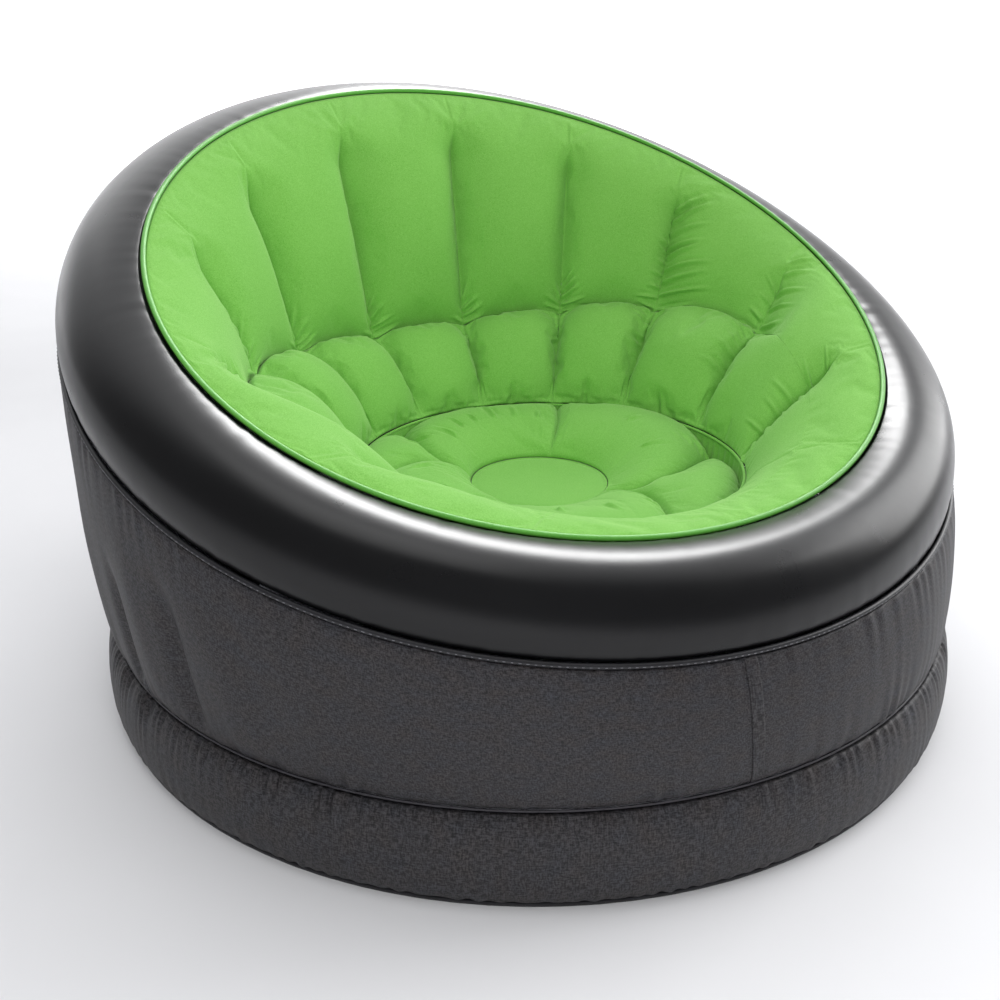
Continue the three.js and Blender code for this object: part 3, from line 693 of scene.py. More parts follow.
# The cap: a tapered stopper under a thin disc
CAP_RADIUS = 0.0085
CAP_TOP = CAP_LOW + 0.0016
cap_mesh = ([], [])
add_turned(cap_mesh, [
    (AXIS_RADIUS, 0.0002), (0.0044, 0.0), (0.0054, PLUG_FACE), (0.0054, CAP_LOW), (CAP_RADIUS, CAP_LOW),
    (CAP_RADIUS, CAP_TOP), (AXIS_RADIUS, CAP_TOP),
])
add_bar(cap_mesh, SMALL_STRAP_WIDTH, CAP_HINGE[1] + TONGUE_SHORT, -0.0065, CAP_LOW, CAP_LOW + STRAP)
cap = valve_piece("inflation_cap_moulding", cap_mesh, MOULDED_SOFT_PVC)
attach(cap, "cap")
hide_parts("inflation_cap")

# The flap: a thin disc a little wider than the port
FLAP_RADIUS = 0.007
flap_mesh = ([], [])
add_turned(flap_mesh, [(AXIS_RADIUS, FLAP_BACK), (FLAP_RADIUS, FLAP_BACK), (FLAP_RADIUS, FLAP_FRONT),
                       (AXIS_RADIUS, FLAP_FRONT)])
add_bar(flap_mesh, SMALL_STRAP_WIDTH, 0.005, FLAP_HINGE[1] - TONGUE_SHORT, FLAP_BACK, FLAP_FRONT)
flap = valve_piece("non_return_flap_disc", flap_mesh, clear_flap_pvc(), DISC_BEVEL)
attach(flap, "flap")
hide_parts("non_return_flap")

# The hole in the side wall for the valve's collar, cut into the sheet
HOLE_RADIUS = 0.01985
HOLE_REACH = 0.012
hole_points = turned_points([(HOLE_RADIUS, -HOLE_REACH), (HOLE_RADIUS, HOLE_REACH)])
hole = mesh_of("valve_hole", valve_middle + hole_points @ valve_frame, capped=True)
cut = body_panel.modifiers.new("valve_hole", "BOOLEAN")
cut.operation = "DIFFERENCE"
cut.solver = "EXACT"
cut.object = hole
body_panel = applied(body_panel)
bpy.data.objects.remove(hole)
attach(body_panel, "shell")
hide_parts("body_side_panel")

# Side lap seam
# Where the two ends of the side wall overlap and are welded, a strip 14 mm wide from the waist to the band. It is the
# same printed sheet, and it stands out by a little more than its own thickness.
LAP_STEPS = 8
LAP_HALF_COLUMNS = 3
LAP_LIFT = 0.0009
lap_shares = np.linspace(-1, 1, LAP_STEPS + 1)[:, None, None]
left, centre, other = body_points[-LAP_HALF_COLUMNS], body_points[0], body_points[LAP_HALF_COLUMNS]
lap_points = np.where(lap_shares < 0, centre + (centre - left) * lap_shares, centre + (other - centre) * lap_shares)
lap_out = normals_of(body_points)[0]


def open_sheet(name, points):
    """A mesh from points[column][row] that stay open at the sides, with a UV map in metres."""
    columns, rows = points.shape[:2]
    index = np.arange(columns * rows).reshape(columns, rows)
    faces = np.stack([index[:-1, :-1], index[1:, :-1], index[1:, 1:], index[:-1, 1:]], -1).reshape(-1, 4)
    mesh = bpy.data.meshes.new(name)
    mesh.from_pydata(points.reshape(-1, 3).tolist(), [], faces.tolist())
    width = np.linalg.norm(points[-1] - points[0], axis=-1).mean()
    height = np.linalg.norm(np.diff(points, axis=1), axis=2).mean(0).sum()
    uv = mesh.uv_layers.new(name="sheet_metres")
    column, row = index.ravel() // rows, index.ravel() % rows
    place = np.stack([column / (columns - 1) * width, row / (rows - 1) * height], -1)
    uv.data.foreach_set("uv", place[faces.ravel()].ravel())
    mesh.shade_smooth()
    thing = bpy.data.objects.new(name, mesh)
    bpy.context.scene.collection.objects.link(thing)
    return thing


lap = thick_sheet(open_sheet("side_lap_strip", lap_points + lap_out * LAP_LIFT), VINYL)
lap.data.materials.append(HEATHER_PRINT_PVC)
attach(lap, "shell")
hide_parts("side_lap_seam")

# Band piping
# A thin black welt along the join of the side wall and the top band. The weld wheel leaves a row of small pale pips
# along it, about 7 mm apart.
PIP_PITCH = 0.0072
PIP_LENGTH = 0.0030
PIP_WIDTH = 0.0008
PIP_HEIGHT = 0.0005
PIP_SHORTEST_SHARE = 0.55
PIP_SEED = 4
STRESS_MM = 3.846


def pips_along(name, line, count, sizes, material):
    """Small bars laid along a closed line by geometry nodes, each turned to follow it."""
    mesh = bpy.data.meshes.new(name)
    total = len(line)
    mesh.from_pydata(line.tolist(), [(i, (i + 1) % total) for i in range(total)], [])
    thing = bpy.data.objects.new(name, mesh)
    bpy.context.scene.collection.objects.link(thing)
    tree = bpy.data.node_groups.new(name + "_tree", "GeometryNodeTree")
    tree.interface.new_socket("Geometry", in_out="INPUT", socket_type="NodeSocketGeometry")
    wanted = dict(sizes, **{"Pip count": count})
    kinds = {int: "NodeSocketInt", float: "NodeSocketFloat"}
    sockets = {key: tree.interface.new_socket(key, in_out="INPUT", socket_type=kinds[type(value)])
               for key, value in wanted.items()}
    tree.interface.new_socket("Geometry", in_out="OUTPUT", socket_type="NodeSocketGeometry")
    given = add_node(tree, "NodeGroupInput").outputs
    path = add_node(tree, "GeometryNodeMeshToCurve", None, {"Mesh": given["Geometry"]})
    places = add_node(tree, "GeometryNodeCurveToPoints", {"mode": "COUNT"},
                      {"Curve": path.outputs["Curve"], "Count": given["Pip count"]})
    length = add_node(tree, "FunctionNodeRandomValue", {"data_type": "FLOAT", 3: 1.0},
                      {2: given["Shortest share"], "Seed": given["Seed"]})
    size = add_node(tree, "ShaderNodeCombineXYZ", None,
                    {"X": given["Pip width"], "Y": given["Pip height"], "Z": given["Pip length"]})
    bar = add_node(tree, "GeometryNodeMeshCube", None, {"Size": size.outputs["Vector"]})
    stretch = add_node(tree, "ShaderNodeCombineXYZ", {"X": 1.0, "Y": 1.0}, {"Z": length.outputs[1]})
    laid = add_node(tree, "GeometryNodeInstanceOnPoints", None, {
        "Points": places.outputs["Points"],
        "Instance": bar.outputs["Mesh"],
        "Rotation": places.outputs["Rotation"],
        "Scale": stretch.outputs["Vector"],
    })
    real = add_node(tree, "GeometryNodeRealizeInstances", None, {"Geometry": laid.outputs["Instances"]})
    dressed = add_node(tree, "GeometryNodeSetMaterial", {"Material": material}, {"Geometry": real.outputs["Geometry"]})
    add_node(tree, "NodeGroupOutput", None, {"Geometry": dressed.outputs["Geometry"]})
    modifier = thing.modifiers.new("pips", "NODES")
    modifier.node_group = tree
    for key, value in wanted.items():
        modifier[sockets[key].identifier] = value
    thing = applied(thing)
    bpy.data.node_groups.remove(tree)
    return thing


def pale_weld_pvc():
    """Vinyl whitened where the weld wheel has stressed it, grey and dull."""
    material, tree, shader = new_material("pale_weld_pvc", {"Roughness": 0.5, "IOR": 1.53})
    place = add_node(tree, "ShaderNodeTexCoord").outputs["Object"]
    stress = add_node(tree, "ShaderNodeTexNoise", {"Scale": per_metre(STRESS_MM), "Detail": 2.0}, {"Vector": place})
    colour = add_node(tree, "ShaderNodeMix", {"data_type": "RGBA", 6: linear("#3B3B40"), 7: linear("#8D8D94")},
                      {0: stress.outputs["Fac"]})
    tree.links.new(colour.outputs[2], shader.inputs["Base Color"])
    return material


piping = tube_of("band_piping_welt", bead_points(PIPING, ROUND_COLUMNS, PIPING["half"], PIPING["half"]))
piping.data.materials.append(WELDED_BLACK_PVC)
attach(piping, "shell")
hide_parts("band_piping")
piping_angles = loop_angles(ROUND_COLUMNS)
piping_line = on_seam(PIPING, piping_angles)
piping_length = np.linalg.norm(np.roll(piping_line, -1, 0) - piping_line, axis=1).sum()
pips = pips_along("band_piping_pips", piping_line + out_of(PIPING, piping_angles) * PIPING["half"],
                  int(piping_length / PIP_PITCH), {
                      "Pip length": PIP_LENGTH, "Pip width": PIP_WIDTH, "Pip height": PIP_HEIGHT,
                      "Shortest share": PIP_SHORTEST_SHARE, "Seed": PIP_SEED,
                  }, pale_weld_pvc())
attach(pips, "shell")

# Top band
# The glossy tube that frames the bowl, 0.6 mm near-black vinyl blown tight, so it reflects the studio softly. Only
# close to its welds does it pucker, very slightly.
BAND_ROWS = 36
BAND_BULGE = 0.040
BAND_ROUND_POWER = 0.8
BAND_PUCKER = 0.00045
BAND_REACH = 0.018
BAND_COUNTS = range(60, 180, 13)
BAND_SEED = 31
CLOUD_MM = 142.9
HANDLED_MM = 45.45
RIPPLE_MM = 16.67
RIM = seam_of("rim_weld_lip")


def calendered_gloss_pvc():
    """Glossy calendered vinyl sheet, near black: slightly softened reflections, with a very slight ripple."""
    material, tree, shader = new_material("calendered_gloss_pvc", {"IOR": 1.5, "Specular IOR Level": 0.36})
    place = add_node(tree, "ShaderNodeTexCoord").outputs["Object"]
    cloudy = add_node(tree, "ShaderNodeTexNoise", {"Scale": per_metre(CLOUD_MM), "Detail": 3.0}, {"Vector": place})
    colour = add_node(tree, "ShaderNodeMix", {"data_type": "RGBA", 6: linear("#0A0A0B"), 7: linear("#101012")},
                      {0: cloudy.outputs["Fac"]})
    tree.links.new(colour.outputs[2], shader.inputs["Base Color"])
    handled = add_node(tree, "ShaderNodeTexNoise", {"Scale": per_metre(HANDLED_MM), "Detail": 6.0},
                       {"Vector": place})
    polish = add_node(tree, "ShaderNodeMapRange", {"To Min": 0.24, "To Max": 0.34}, {"Value": handled.outputs["Fac"]})
    tree.links.new(polish.outputs["Result"], shader.inputs["Roughness"])
    ripple = add_node(tree, "ShaderNodeTexNoise", {"Scale": per_metre(RIPPLE_MM), "Detail": 1.0}, {"Vector": place})
    bump = add_node(tree, "ShaderNodeBump", {"Strength": 0.06, "Distance": 0.001}, {"Height": ripple.outputs["Fac"]})
    tree.links.new(bump.outputs["Normal"], shader.inputs["Normal"])
    return material


band_angles = loop_angles(ROUND_COLUMNS)
band_points = trimmed_run(on_seam(PIPING, band_angles), on_seam(RIM, band_angles), PIPING["half"], RIM["half"],
                          shares(BAND_ROWS)[None], lambda length, share: BAND_BULGE * arch(share) ** BAND_ROUND_POWER)
band_points = puckered(band_points, BAND_SEED, BAND_PUCKER, BAND_REACH, BAND_COUNTS)
band = thick_sheet(mesh_of("top_band_tube", band_points), VINYL)
band.data.materials.append(calendered_gloss_pvc())
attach(band, "shell")
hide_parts("top_band")

# Rim weld lip
# The fused edge between the band and the bowl, made by a weld bar in one go round the rim. The flock is melted flat
# in it, so it is a darker and duller green than the sheet.
MELTED_KNURL_MM = 1.923


def welded_flock_pvc():
    """Flocked vinyl fused by the weld bar: the fibres are melted flat, so the green is dark and slightly shiny."""
    material, tree, shader = new_material("welded_flock_pvc", {"Roughness": 0.55, "IOR": 1.52})
    place = add_node(tree, "ShaderNodeTexCoord").outputs["Object"]
    knurl = add_node(tree, "ShaderNodeTexNoise", {"Scale": per_metre(MELTED_KNURL_MM), "Detail": 2.0},
                     {"Vector": place})
    colour = add_node(tree, "ShaderNodeMix", {"data_type": "RGBA", 6: linear("#4A9230"), 7: linear("#62AD41")},
                      {0: knurl.outputs["Fac"]})
    tree.links.new(colour.outputs[2], shader.inputs["Base Color"])
    bump = add_node(tree, "ShaderNodeBump", {"Strength": 0.4, "Distance": 0.0004}, {"Height": knurl.outputs["Fac"]})
    tree.links.new(bump.outputs["Normal"], shader.inputs["Normal"])
    return material


rim_lip = tube_of("rim_weld", bead_points(RIM, ROUND_COLUMNS, RIM["half"], RIM["half"]))
rim_lip.data.materials.append(welded_flock_pvc())
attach(rim_lip, "shell")
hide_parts("rim_weld_lip")

# Back panel and seat surround
# The bowl's wall, one flocked green sheet 1 mm thick, cut here at its ring crease into the tall chambers up the back
# and the ring of pillows round the seat. Tie sheets pull every crease in; the air rounds the sheet between them, and
# the slack gathers in short wrinkles beside the knots. Towards the front the ring crease fades into one smooth roll.
FLOCKED = 0.001
BACK_CHAMBERS = 5
SIDE_CHAMBERS = 8
BACK_START = TURN / 12
BACK_SPAN = TURN / 3
CHAMBER_COLUMNS = 64
BACK_ROWS = 124
SURROUND_ROWS = 70
COLUMN_BUNCH = 0.4
ROW_BUNCH = 0.45
CROWN_WIDTH_POWER = 2.4
CROWN_ROUND_POWER = 0.55
PILLOW_ROUND_POWER = 0.7
RING_LEAN_SHARE = 0.78
ROLL_ROUND_POWER = 0.8
BACK_BULGE_SHARE = 0.13
SURROUND_BULGE_SHARE = 0.24
ROLL_BULGE_SHARE = 0.16
RING_SHARE = 0.46
RING_ARCH = 0.008
CREASE_START = 0.038
CREASE_FULL = 0.095
SEAT_RING = seam_of("seat_ring_weld")


def loop_below(seam, inset, drop):
    """A loop that lies inside a seam and under it, by its insets and drops at the side, the back and the front."""
    rear = seam["middle"] + seam["depth"] - inset["back"]
    front = seam["depth"] - seam["middle"] - inset["front"]
    side_height = seam["height"] + seam["lift"] - drop["side"]
    rear_height = seam["height"] + seam["rise"] - seam["lift"] - drop["back"]
    front_height = seam["height"] - seam["rise"] - seam["lift"] - drop["front"]
    level = (rear_height + front_height) / 2
    return {
        "width": seam["width"] - inset["side"],
        "depth": (rear + front) / 2,
        "middle": (rear - front) / 2,
        "height": (side_height + level) / 2,
        "rise": (rear_height - front_height) / 2,
        "lift": (side_height - level) / 2,
        "half": 0,
    }


RING_INSET = {"side": 0.100, "back": 0.079, "front": 0.043}
RING_DROP = {"side": 0.114, "back": 0.330, "front": 0.026}
RING_CREASE = loop_below(RIM, RING_INSET, RING_DROP)
pitches = [BACK_SPAN / BACK_CHAMBERS] * BACK_CHAMBERS + [(TURN - BACK_SPAN) / SIDE_CHAMBERS] * SIDE_CHAMBERS
crease_angles = BACK_START + np.concatenate([[0], np.cumsum(pitches)[:-1]])
across = np.arange(CHAMBER_COLUMNS) / CHAMBER_COLUMNS
across = across - COLUMN_BUNCH * np.sin(TURN * across) / TURN
wall_angles = (crease_angles[:, None] + np.array(pitches)[:, None] * across).ravel()
crown_across = np.tile(across, len(pitches))


def crown(share_across):
    """0 on a crease and 1 on the crown between two creases."""
    return (1 - np.abs(2 * share_across - 1) ** CROWN_WIDTH_POWER) ** CROWN_ROUND_POWER


def pillow(share):
    """The swell of a pillow along a crown, 0 at both ends and 1 at its fullest."""
    return arch(share) ** PILLOW_ROUND_POWER


def faded(angle, start, end):
    """1 at the back of the chair, and 0 where something has died out towards the front."""
    return 1 - smooth(start, end, (1 - np.sin(angle)) / 2)


# The ring crease dies out on the sides, and the upright ones only towards the front
RING_FADE = (0.50, 0.64)
CREASE_FADE = (0.76, 0.95)
ring_depth = faded(wall_angles, *RING_FADE)[:, None]
crease_depth = faded(wall_angles, *CREASE_FADE)[:, None]
pressed = crease_depth * (1 - crown(crown_across))[:, None]
rim_line, seat_line = on_seam(RIM, wall_angles), on_seam(SEAT_RING, wall_angles)
ring_line = on_seam(RING_CREASE, wall_angles)
arched = (1 - np.abs(2 * crown_across - 1) ** 2) * RING_ARCH * ring_depth[:, 0]
ring_line = ring_line + unit(rim_line - ring_line) * arched[:, None]


def started(length, share):
    """How deep a crease is on its way down from the rim: it starts a few centimetres below and is soon full."""
    return smooth(CREASE_START, CREASE_FULL, length * share)


back_shares, surround_shares = shares(BACK_ROWS, ROW_BUNCH)[None], shares(SURROUND_ROWS, ROW_BUNCH)[None]
chamber = trimmed_run(rim_line, ring_line, RIM["half"], 0, back_shares, lambda length, share:
                      BACK_BULGE_SHARE * length * pillow(share) * (1 - started(length, share) * pressed))
ring_pillow = trimmed_run(ring_line, seat_line, 0, SEAT_RING["half"], surround_shares, lambda length, share:
                          SURROUND_BULGE_SHARE * length * pillow(share ** RING_LEAN_SHARE) * (1 - pressed))
roll = [trimmed_run(rim_line, seat_line, RIM["half"], SEAT_RING["half"], roll_shares, lambda length, share:
                    ROLL_BULGE_SHARE * length * arch(share) ** ROLL_ROUND_POWER
                    * (1 - started(length, share) * pressed))
        for roll_shares in (back_shares * RING_SHARE, RING_SHARE + (1 - RING_SHARE) * surround_shares)]
back_points = chamber + (roll[0] - chamber) * (1 - ring_depth)[..., None]
surround_points = ring_pillow + (roll[1] - ring_pillow) * (1 - ring_depth)[..., None]
wall_points = np.concatenate([back_points, surround_points[:, 1:]], 1)

AIR_FRAMES = 20
AIR_PRESSURE = 4.0
AIR_STEP = 2
MOST_MOVE = 0.010
MOST_SLACK = 0.05
WALL_PUCKER = 0.0010
WALL_PUCKER_REACH = 0.010
CHAMBER_SLACK_SHARE = 0.12
PILLOW_SLACK_SHARE = 0.8
RIM_HOLD_ROWS = 5
WALL_PUCKER_COUNTS = range(90, 210, 11)
WALL_FIRST_SHARE = 0.2
WALL_PUCKER_SEED = 61
WALL_WRINKLE_SEED = 5
NAP_MM = 55.56
FIBRE_MM = 1.282


def inflated(name, points, held, slack_share):
    """The sheet after a short inflation with its creases and edges held: it tightens, and its slack gathers.

    The cloth runs on every second column and row of the grid, and its movement is spread back over all of them.
    """
    coarse = points[::AIR_STEP, ::AIR_STEP]
    sheet = mesh_of(name, coarse)
    for group, weights in (("held", held), ("taut", 1 - slack_share)):
        made = sheet.vertex_groups.new(name=group)
        for index, weight in enumerate(np.broadcast_to(weights, held.shape)[::AIR_STEP, ::AIR_STEP].ravel()):
            made.add([index], float(weight), "REPLACE")
    cloth = sheet.modifiers.new("air", "CLOTH")
    cloth.point_cache.frame_start = 1
    cloth.point_cache.frame_end = AIR_FRAMES
    settings = cloth.settings
    settings.quality = 6
    settings.mass = 0.08
    settings.tension_stiffness = 30
    settings.compression_stiffness = 20
    settings.shear_stiffness = 12
    settings.bending_stiffness = 0.25
    settings.tension_damping = settings.compression_damping = 20
    settings.air_damping = 8
    settings.vertex_group_mass = "held"
    settings.vertex_group_shrink = "taut"
    settings.shrink_min = -MOST_SLACK
    settings.shrink_max = 0
    settings.use_pressure = True
    settings.uniform_pressure_force = AIR_PRESSURE
    settings.effector_weights.gravity = 0
    cloth.collision_settings.use_collision = False
    scene = bpy.context.scene
    for number in range(1, AIR_FRAMES + 1):
        scene.frame_set(number)
    settled = np.zeros(coarse.size)
    result = sheet.evaluated_get(bpy.context.evaluated_depsgraph_get()).to_mesh()
    result.vertices.foreach_get("co", settled)
    scene.frame_set(1)
    bpy.data.objects.remove(sheet)
    move = settled.reshape(coarse.shape) - coarse
    far = np.linalg.norm(move, axis=-1, keepdims=True)
    move = move * np.minimum(1, MOST_MOVE / np.maximum(far, 1e-9))
    wide = np.zeros((len(points), move.shape[1], 3))
    wide[::2], wide[1::2] = move, (move + np.roll(move, -1, 0)) / 2
    full = np.zeros(points.shape)
    full[:, ::2], full[:, 1::2] = wide, (wide[:, :-1] + wide[:, 1:]) / 2
    full[:, 1:-1] = (full[:, :-2] + 2 * full[:, 1:-1] + full[:, 2:]) / 4
    return points + full


# The fans of wrinkles beside the creases. For each: the crease's angle in degrees, the side it lies on (1 for growing
# angles), where it starts and ends above the ring crease, its first and last direction in degrees above level, how
# many wrinkles, and their length and height
WALL_FANS = (
    (126, -1, 0.004, 0.030, 15, 60, 4, 0.050, 0.0016),
    (126, 1, 0.006, 0.020, 30, 60, 2, 0.032, 0.0010),
    (102, -1, 0.004, 0.034, 10, 65, 4, 0.052, 0.0018),
    (102, 1, 0.004, 0.018, 20, 60, 2, 0.030, 0.0010),
    (78, -1, 0.004, 0.026, 5, 60, 4, 0.046, 0.0017),
    (78, 1, 0.002, 0.010, 25, 55, 2, 0.030, 0.0011),
    (54, -1, 0.002, 0.040, 0, 50, 5, 0.058, 0.0020),
    (54, 1, 0.004, 0.020, 15, 50, 3, 0.036, 0.0012),
    (30, -1, 0.004, 0.145, 12, 38, 9, 0.080, 0.0024),
    (30, 1, 0.006, 0.100, 5, 30, 7, 0.034, 0.0016),
    (0, -1, 0.010, 0.110, 10, 46, 5, 0.060, 0.0014),
    (0, 1, 0.002, 0.060, -5, 40, 4, 0.040, 0.0014),
    (150, -1, 0.004, 0.040, 15, 55, 3, 0.045, 0.0012),
    (150, 1, 0.004, 0.060, 20, 50, 4, 0.050, 0.0014),
    (180, 1, 0.004, 0.080, 15, 50, 5, 0.060, 0.0014),
    (180, -1, 0.004, 0.050, 15, 50, 4, 0.045, 0.0012),
    (126, -1, -0.050, -0.006, -30, 10, 3, 0.040, 0.0008),
    (102, 1, -0.050, -0.006, -40, -5, 3, 0.040, 0.0008),
    (78, 1, -0.040, -0.006, -50, -10, 3, 0.036, 0.0008),
    (54, 1, -0.045, -0.006, -40, 0, 3, 0.040, 0.0008),
    (30, 1, -0.060, -0.008, -30, 10, 5, 0.056, 0.0011),
    (0, 1, -0.080, -0.010, -25, 15, 6, 0.064, 0.0012),
    (-30, 1, -0.080, 0.030, -25, 25, 5, 0.055, 0.0016),
    (-30, -1, -0.120, -0.020, -30, 20, 5, 0.055, 0.0011),
    (150, 1, -0.060, -0.010, -40, 0, 3, 0.032, 0.0011),
    (180, -1, -0.070, -0.010, -40, 5, 4, 0.036, 0.0012),
    (210, 1, -0.090, -0.010, -30, 20, 4, 0.050, 0.0012),
)
WRINKLE_WIDTH = 0.0044
WRINKLE_DEPTH = 2.3
WRINKLE_BEND = 3.0


def wrinkled(points, angles, origin_row, fans, seed):
    """The sheet with fans of short wrinkles, each a ridge between two shallow valleys, running out from a crease."""
    draw = np.random.default_rng(seed)
    around = np.linalg.norm(np.roll(points, -1, 0) - points, axis=2)
    arc = np.cumsum(around, axis=0) - around
    down = length_along(points)
    up = down[:, origin_row:origin_row + 1] - down
    relief = np.zeros(up.shape)
    for crease, side, low, high, first, last, count, length, height in fans:
        column = np.argmin(np.abs(angle_from(angles, math.radians(crease))))
        half_turn = around.sum(0) / 2
        out = side * ((arc - arc[column] + half_turn) % (2 * half_turn) - half_turn)
        for number in range(count):
            share = number / max(count - 1, 1)
            direction = math.radians(first + (last - first) * share + draw.uniform(-6, 6))
            start = low + (high - low) * share + draw.uniform(-0.003, 0.003)
            reach, width = length * draw.uniform(0.7, 1.25), WRINKLE_WIDTH * draw.uniform(0.75, 1.2)
            along = out * math.cos(direction) + (up - start) * math.sin(direction)
            aside = (up - start) * math.cos(direction) - out * math.sin(direction)
            aside = (aside + WRINKLE_BEND * draw.uniform(-0.3, 1) * along ** 2) / width
            fade = smooth(0, 0.15, along / reach) * (1 - smooth(0.35, 1, along / reach))
            relief += WRINKLE_DEPTH * height * (1 - 2 * aside ** 2) * np.exp(-aside ** 2) * fade
    return points + normals_of(points) * relief[..., None]


ring_row = BACK_ROWS
held = np.zeros(wall_points.shape[:2])
held[:, ring_row] = ring_depth[:, 0]
on_crease = np.arange(len(pitches)) * CHAMBER_COLUMNS
reached = length_along(wall_points[on_crease])
held[on_crease] = np.maximum(held[on_crease], smooth(CREASE_START, CREASE_FULL, reached) * crease_depth[on_crease])
rows = np.arange(wall_points.shape[1])
held = np.maximum(held, np.exp(-(rows / RIM_HOLD_ROWS) ** 2))
held[:, -1] = 1
slack_share = np.where(rows < ring_row, CHAMBER_SLACK_SHARE, PILLOW_SLACK_SHARE * ring_depth)
wall_points = inflated("bowl_wall_air", wall_points, held, slack_share)
wall_points = wrinkled(wall_points, wall_angles, ring_row, WALL_FANS, WALL_WRINKLE_SEED)
# Short darts up from the pillows' lower edge, where the ring weld has taken up slack: angle, length and depth
DARTS = (
    (92, 0.034, 0.0030),
    (68, 0.046, 0.0052),
    (43, 0.050, 0.0054),
    (17, 0.048, 0.0044),
    (114, 0.034, 0.0036),
    (108, 0.024, 0.0020),
    (139, 0.036, 0.0036),
    (133, 0.028, 0.0020),
    (165, 0.040, 0.0024),
    (-15, 0.040, 0.0020),
    (196, 0.040, 0.0024),
)
DART_WIDTH = 0.0034
DART_FULL_SHARE = 0.4
DART_START = 0.003
lengths = length_along(wall_points)
above = lengths[:, -1:] - lengths
relief = np.zeros(above.shape)
for dart_angle, dart_length, dart_depth in DARTS:
    sideways = angle_from(wall_angles, math.radians(dart_angle))[:, None] * SEAT_RING["width"] / DART_WIDTH
    relief -= dart_depth * np.exp(-sideways ** 2) * (1 - smooth(DART_FULL_SHARE, 1, above / dart_length))
relief *= smooth(0, DART_START, above)
wall_points = wall_points + normals_of(wall_points) * relief[..., None]
wall_points = puckered(wall_points, WALL_PUCKER_SEED, WALL_PUCKER, WALL_PUCKER_REACH, WALL_PUCKER_COUNTS,
                       WALL_FIRST_SHARE)


def flocked_pvc():
    """Vinyl with a green rayon flock: matt, with a pale sheen, brushed darker and lighter in soft patches.

    The fibres are finer than the picture can show, so their grain is drawn over a millimetre coarse.
    """
    material, tree, shader = new_material("flocked_pvc", {
        "Roughness": 0.92, "Specular IOR Level": 0.15, "Sheen Weight": 0.35, "Sheen Roughness": 0.4,
        "Sheen Tint": linear("#D8F5B8"),
    })
    place = add_node(tree, "ShaderNodeTexCoord").outputs["Object"]
    nap = add_node(tree, "ShaderNodeTexNoise", {"Scale": per_metre(NAP_MM), "Detail": 3.0}, {"Vector": place})
    brushed = add_node(tree, "ShaderNodeMix", {"data_type": "RGBA", 6: linear("#5FA238"), 7: linear("#74B34C")},
                       {0: nap.outputs["Fac"]})
    fibre = add_node(tree, "ShaderNodeTexNoise", {"Scale": per_metre(FIBRE_MM), "Detail": 2.0, "Roughness": 0.7},
                     {"Vector": place})
    speck = add_node(tree, "ShaderNodeMapRange", {"From Min": 0.3, "From Max": 0.7}, {"Value": fibre.outputs["Fac"]})
    colour = add_node(tree, "ShaderNodeMix", {"data_type": "RGBA", 7: linear("#86C05F")},
                      {0: speck.outputs["Result"], 6: brushed.outputs[2]})
    tree.links.new(colour.outputs[2], shader.inputs["Base Color"])
    bump = add_node(tree, "ShaderNodeBump", {"Strength": 0.5, "Distance": 0.0006}, {"Height": fibre.outputs["Fac"]})
    tree.links.new(bump.outputs["Normal"], shader.inputs["Normal"])
    return material


FLOCKED_PVC = flocked_pvc()
back_panel = thick_sheet(mesh_of("flocked_back", wall_points[:, :ring_row + 1]), FLOCKED)
back_panel.data.materials.append(FLOCKED_PVC)
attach(back_panel, "shell")
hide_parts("back_panel")
surround = thick_sheet(mesh_of("flocked_surround", wall_points[:, ring_row:]), FLOCKED)
surround.data.materials.append(FLOCKED_PVC)
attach(surround, "shell")
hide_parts("seat_surround_panel")

# Seat ring weld
# The fused edge under the pillows, where the upright strip round the seat hangs from the bowl's wall. Both sheets in
# the weld are flocked, so it is green like them.
ring_bead = tube_of("seat_ring_bead", bead_points(SEAT_RING, ROUND_COLUMNS, SEAT_RING["half"], SEAT_RING["half"]))
ring_bead.data.materials.append(FLOCKED_PVC)
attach(ring_bead, "shell")
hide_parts("seat_ring_weld")

# Seat well gusset
# The upright strip between the pillows and the seat, cut from the flocked sheet. It is longer than its ring, so it
# stands in fine pleats where it is welded in.
GUSSET_ROWS = 24
GUSSET_BUNCH = 0.3
GUSSET_PLEAT = 0.0016
GUSSET_PLEAT_COUNTS = range(84, 124, 5)
GUSSET_PLEAT_SEED = 41
GUSSET_LEAN_SHARE = 0.4
WELL_INSET = 0.006
WELL_DEPTH = 0.063
WELL = dict(SEAT_RING, width=SEAT_RING["width"] - WELL_INSET, depth=SEAT_RING["depth"] - WELL_INSET,
            height=SEAT_RING["height"] - WELL_DEPTH, half=0)
gusset_angles = loop_angles(ROUND_COLUMNS)
gusset_shares = shares(GUSSET_ROWS, GUSSET_BUNCH)[None]
gusset_points = trimmed_run(on_seam(SEAT_RING, gusset_angles), on_seam(WELL, gusset_angles), SEAT_RING["half"], 0,
                            gusset_shares, lambda length, share: 0 * length * share)
upright, leaning = (waves(gusset_angles, GUSSET_PLEAT_SEED + number, GUSSET_PLEAT_COUNTS)[:, None]
                    for number in (0, 1))
pleats = (upright + GUSSET_LEAN_SHARE * leaning * gusset_shares) * arch(gusset_shares) ** 0.5
gusset_points = gusset_points + normals_of(gusset_points) * (GUSSET_PLEAT * pleats)[..., None]
gusset = thick_sheet(mesh_of("flocked_gusset", gusset_points), FLOCKED)
gusset.data.materials.append(FLOCKED_PVC)
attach(gusset, "shell")
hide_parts("seat_well_gusset")

